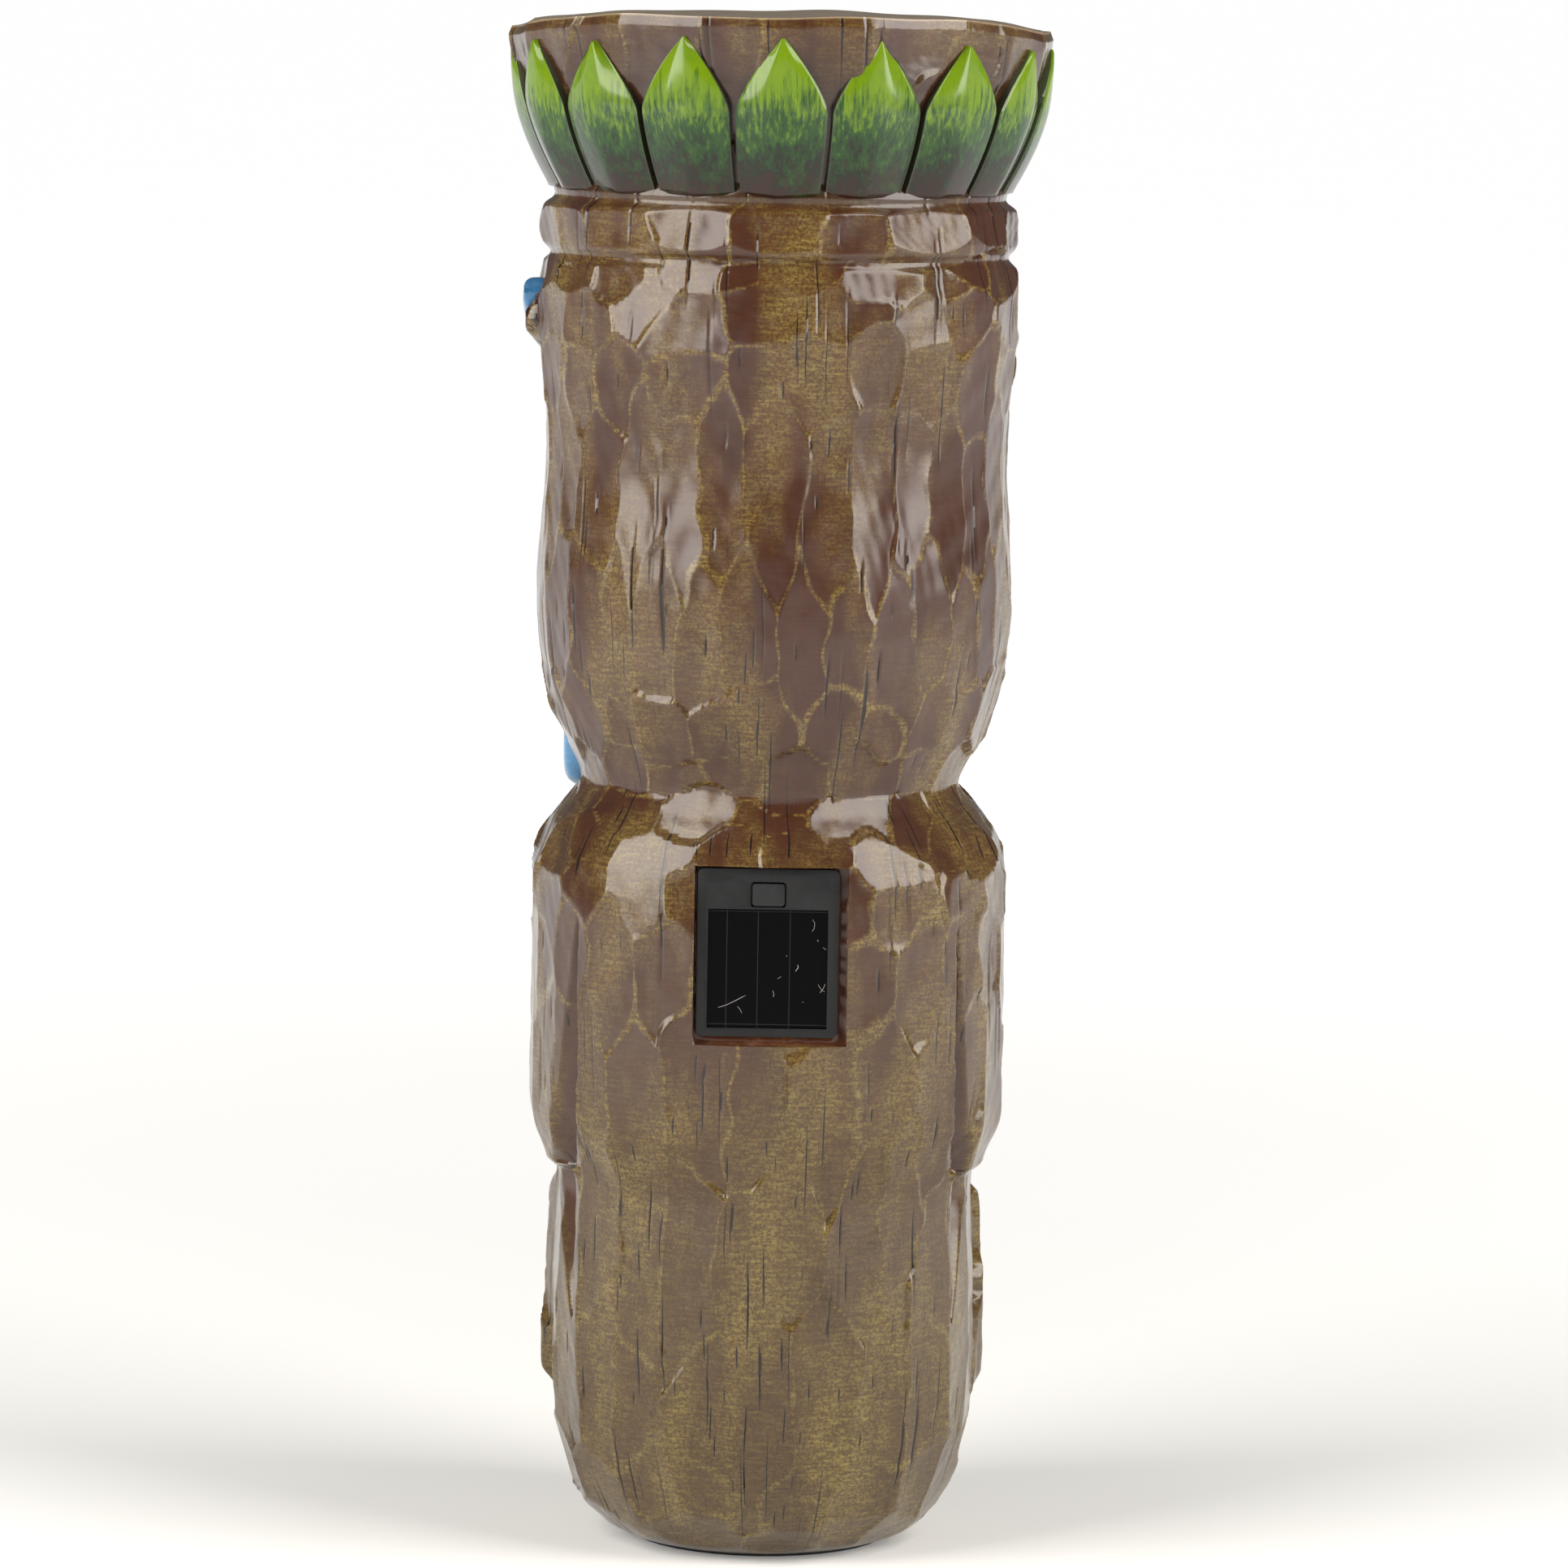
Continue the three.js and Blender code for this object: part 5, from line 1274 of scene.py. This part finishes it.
# start of a frame node's name: the material's name, colour, rubbed or tarnished colour, roughness, grain in mm
plastics = {
    "cell_board": ("glassLaminate", "#2f5d3a", "#3a6d45", 0.45),
    "circuit_board": ("boardLaminate", "#1f6b3b", "#2b7d49", 0.4),
    "module_gasket": ("gasketRubber", "#222122", "#2d2c2d", 0.6),
    "lead_grommet": ("grommetRubber", "#262425", "#313031", 0.6),
    "module_sealant": ("glossySealant", "#4d2a18", "#6d4529", 0.22, 1.2),
    "battery": ("batterySleeve", "#2f7d46", "#3f8f55", 0.3),
    "eye_lead_left": ("leadRed", "#a32a24", "#b53a33", 0.45),
    "eye_lead_right": ("leadBlack", "#1d1c1e", "#2b2a2c", 0.45),
    "eye_lamp_holder": ("holderNylon", "#d8d4c8", "#e6e3da", 0.5),
}
metals = {
    "battery_contact": ("platedSteel", "#c9c7c2", "#9b9892", 0.3),
    "battery_spring": ("springSteel", "#b9b7b2", "#85827c", 0.3),
    "module_screw": ("zincScrew", "#bfbdb6", "#8f8b82", 0.35),
    "boost_coil": ("coilCopper", "#c27b4d", "#8d5432", 0.3),
}
finishes = {key: mouldedPlastic(*values) for key, values in plastics.items()}
finishes.update((key, metalFinish(*values)) for key, values in metals.items())
finishes.update((key, blackPlastic)
                for key in ("module_bezel", "module_tray", "switch_body", "driver_chip", "base_plate"))
finishes["power_button"] = buttonPlastic
finishes["cell_cover"] = finishes["cell_strip"] = cellFace()
finishes["eye_lamp"] = clearResin("lampEpoxy", "#e9e4d6", 0.8)
finishes["eye_lens"] = clearResin("lensAcrylic", "#f0d9a0", 0.2)


def finishOf(name):
    # the longest matching start of a name
    fits = [key for key in finishes if name.startswith(key)]
    return finishes[max(fits, key=len)]


def dress(piece, material):
    # gives a piece one material
    piece.data.materials.clear()
    piece.data.materials.append(material)


for piece in castingPieces + [nose]:
    dress(piece, resin)
dress(leaves, leafPaint())
for piece in (brow, lips):
    dress(piece, bluePaint)
for piece in (teeth, *eyeRims):
    dress(piece, creamPaint)
for piece in lenses:
    dress(piece, finishes["eye_lens"])
dress(bead, finishes["module_sealant"])
dress(lint, mouldedPlastic("paleLint", "#8d8c89", "#b4b3af", 0.8))
for node, piece in rounded.items():
    dress(piece, finishOf(node))
for node, piece in nodes.items():
    if not piece.hide_render:
        dress(piece, finishOf(node))
print("materials made")


studioSet = {
    "floor": 400000,  # mm to each side
    "aim": (0, 0, 0.29),  # metres, where the soft boxes point
    "surround": 0.12,
    "lampTint": (1, 0.965, 0.915),
    "boxes": {  # degrees from the back towards the figure's left and up, metres away, wide and tall, watts
        "softBoxLeft": (56, 27, 1.6, 1.0, 1.65, 37), "softBoxRight": (-63, 27, 1.6, 1.0, 1.65, 37),
    },
}
# metres, degrees, mm
cameraSet = {"at": (-0.0044, 2.54, 0.5385), "down": 6.408, "roll": 0.95, "lens": 176.1, "sensor": 36}


def studio():
    # a wide pale floor that glows more with distance, two soft boxes behind the camera's shoulders, and a
    # dim, even surround
    wide = studioSet["floor"]
    points = np.array([(-wide, -wide, 0), (wide, -wide, 0), (wide, wide, 0), (-wide, wide, 0)])
    floor = makeMesh("floor", points, [(0, 1, 2, 3)])
    material, node, shader, mm = newMaterial("paleFloor", Roughness=0.9, Emission_Color="#ffffff")
    mottle = node("TexNoise", Vector=mm, Scale=1 / 400, Detail=2)
    tone = node("MixRGB", Fac=mottle, Color1="#e0e0de", Color2="#e6e6e4")
    away = node("VectorMath", operation="LENGTH", Vector=mm).outputs["Value"]
    glow = node("MapRange", Value=away, From_Min=150, From_Max=1900, To_Min=0.16, To_Max=0.9)
    wire(shader, Base_Color=tone, Emission_Strength=glow)
    dress(floor, material)
    world = bpy.data.worlds.new("surround")
    world.use_nodes = True
    background = world.node_tree.nodes["Background"]
    background.inputs["Color"].default_value = (1, 1, 1, 1)
    background.inputs["Strength"].default_value = studioSet["surround"]
    bpy.context.scene.world = world
    aim = Vector(studioSet["aim"])
    for name, (aside, up, away, wide, tall, power) in studioSet["boxes"].items():
        lamp = bpy.data.lights.new(name, "AREA")
        lamp.shape, lamp.size, lamp.size_y, lamp.energy = "RECTANGLE", wide, tall, power
        lamp.color = studioSet["lampTint"]
        piece = bpy.data.objects.new(name, lamp)
        flat, rise = math.radians(aside), math.radians(up)
        level = math.cos(rise)
        piece.location = aim + away * Vector((math.sin(flat) * level, math.cos(flat) * level, math.sin(rise)))
        piece.rotation_euler = (piece.location - aim).to_track_quat("Z", "Y").to_euler()
        bpy.context.scene.collection.objects.link(piece)


def makeCamera():
    # looks from the back towards the figure: turned half round, tipped down, then rolled about its own axis
    camera = bpy.data.cameras.new("camera")
    camera.lens, camera.sensor_width = cameraSet["lens"], cameraSet["sensor"]
    camera.clip_start, camera.clip_end = 0.05, 1000
    piece = bpy.data.objects.new("camera", camera)
    piece.location = cameraSet["at"]
    half, tip, roll = (Matrix.Rotation(math.radians(angle), 4, axis) for angle, axis in (
        (180, "Z"), (90 - cameraSet["down"], "X"), (cameraSet["roll"], "Z")))
    piece.rotation_euler = (half @ tip @ roll).to_euler()
    bpy.context.scene.collection.objects.link(piece)
    bpy.context.scene.camera = piece


studio()
makeCamera()
bpy.context.scene.view_settings.view_transform = "Standard"
print("studio made")
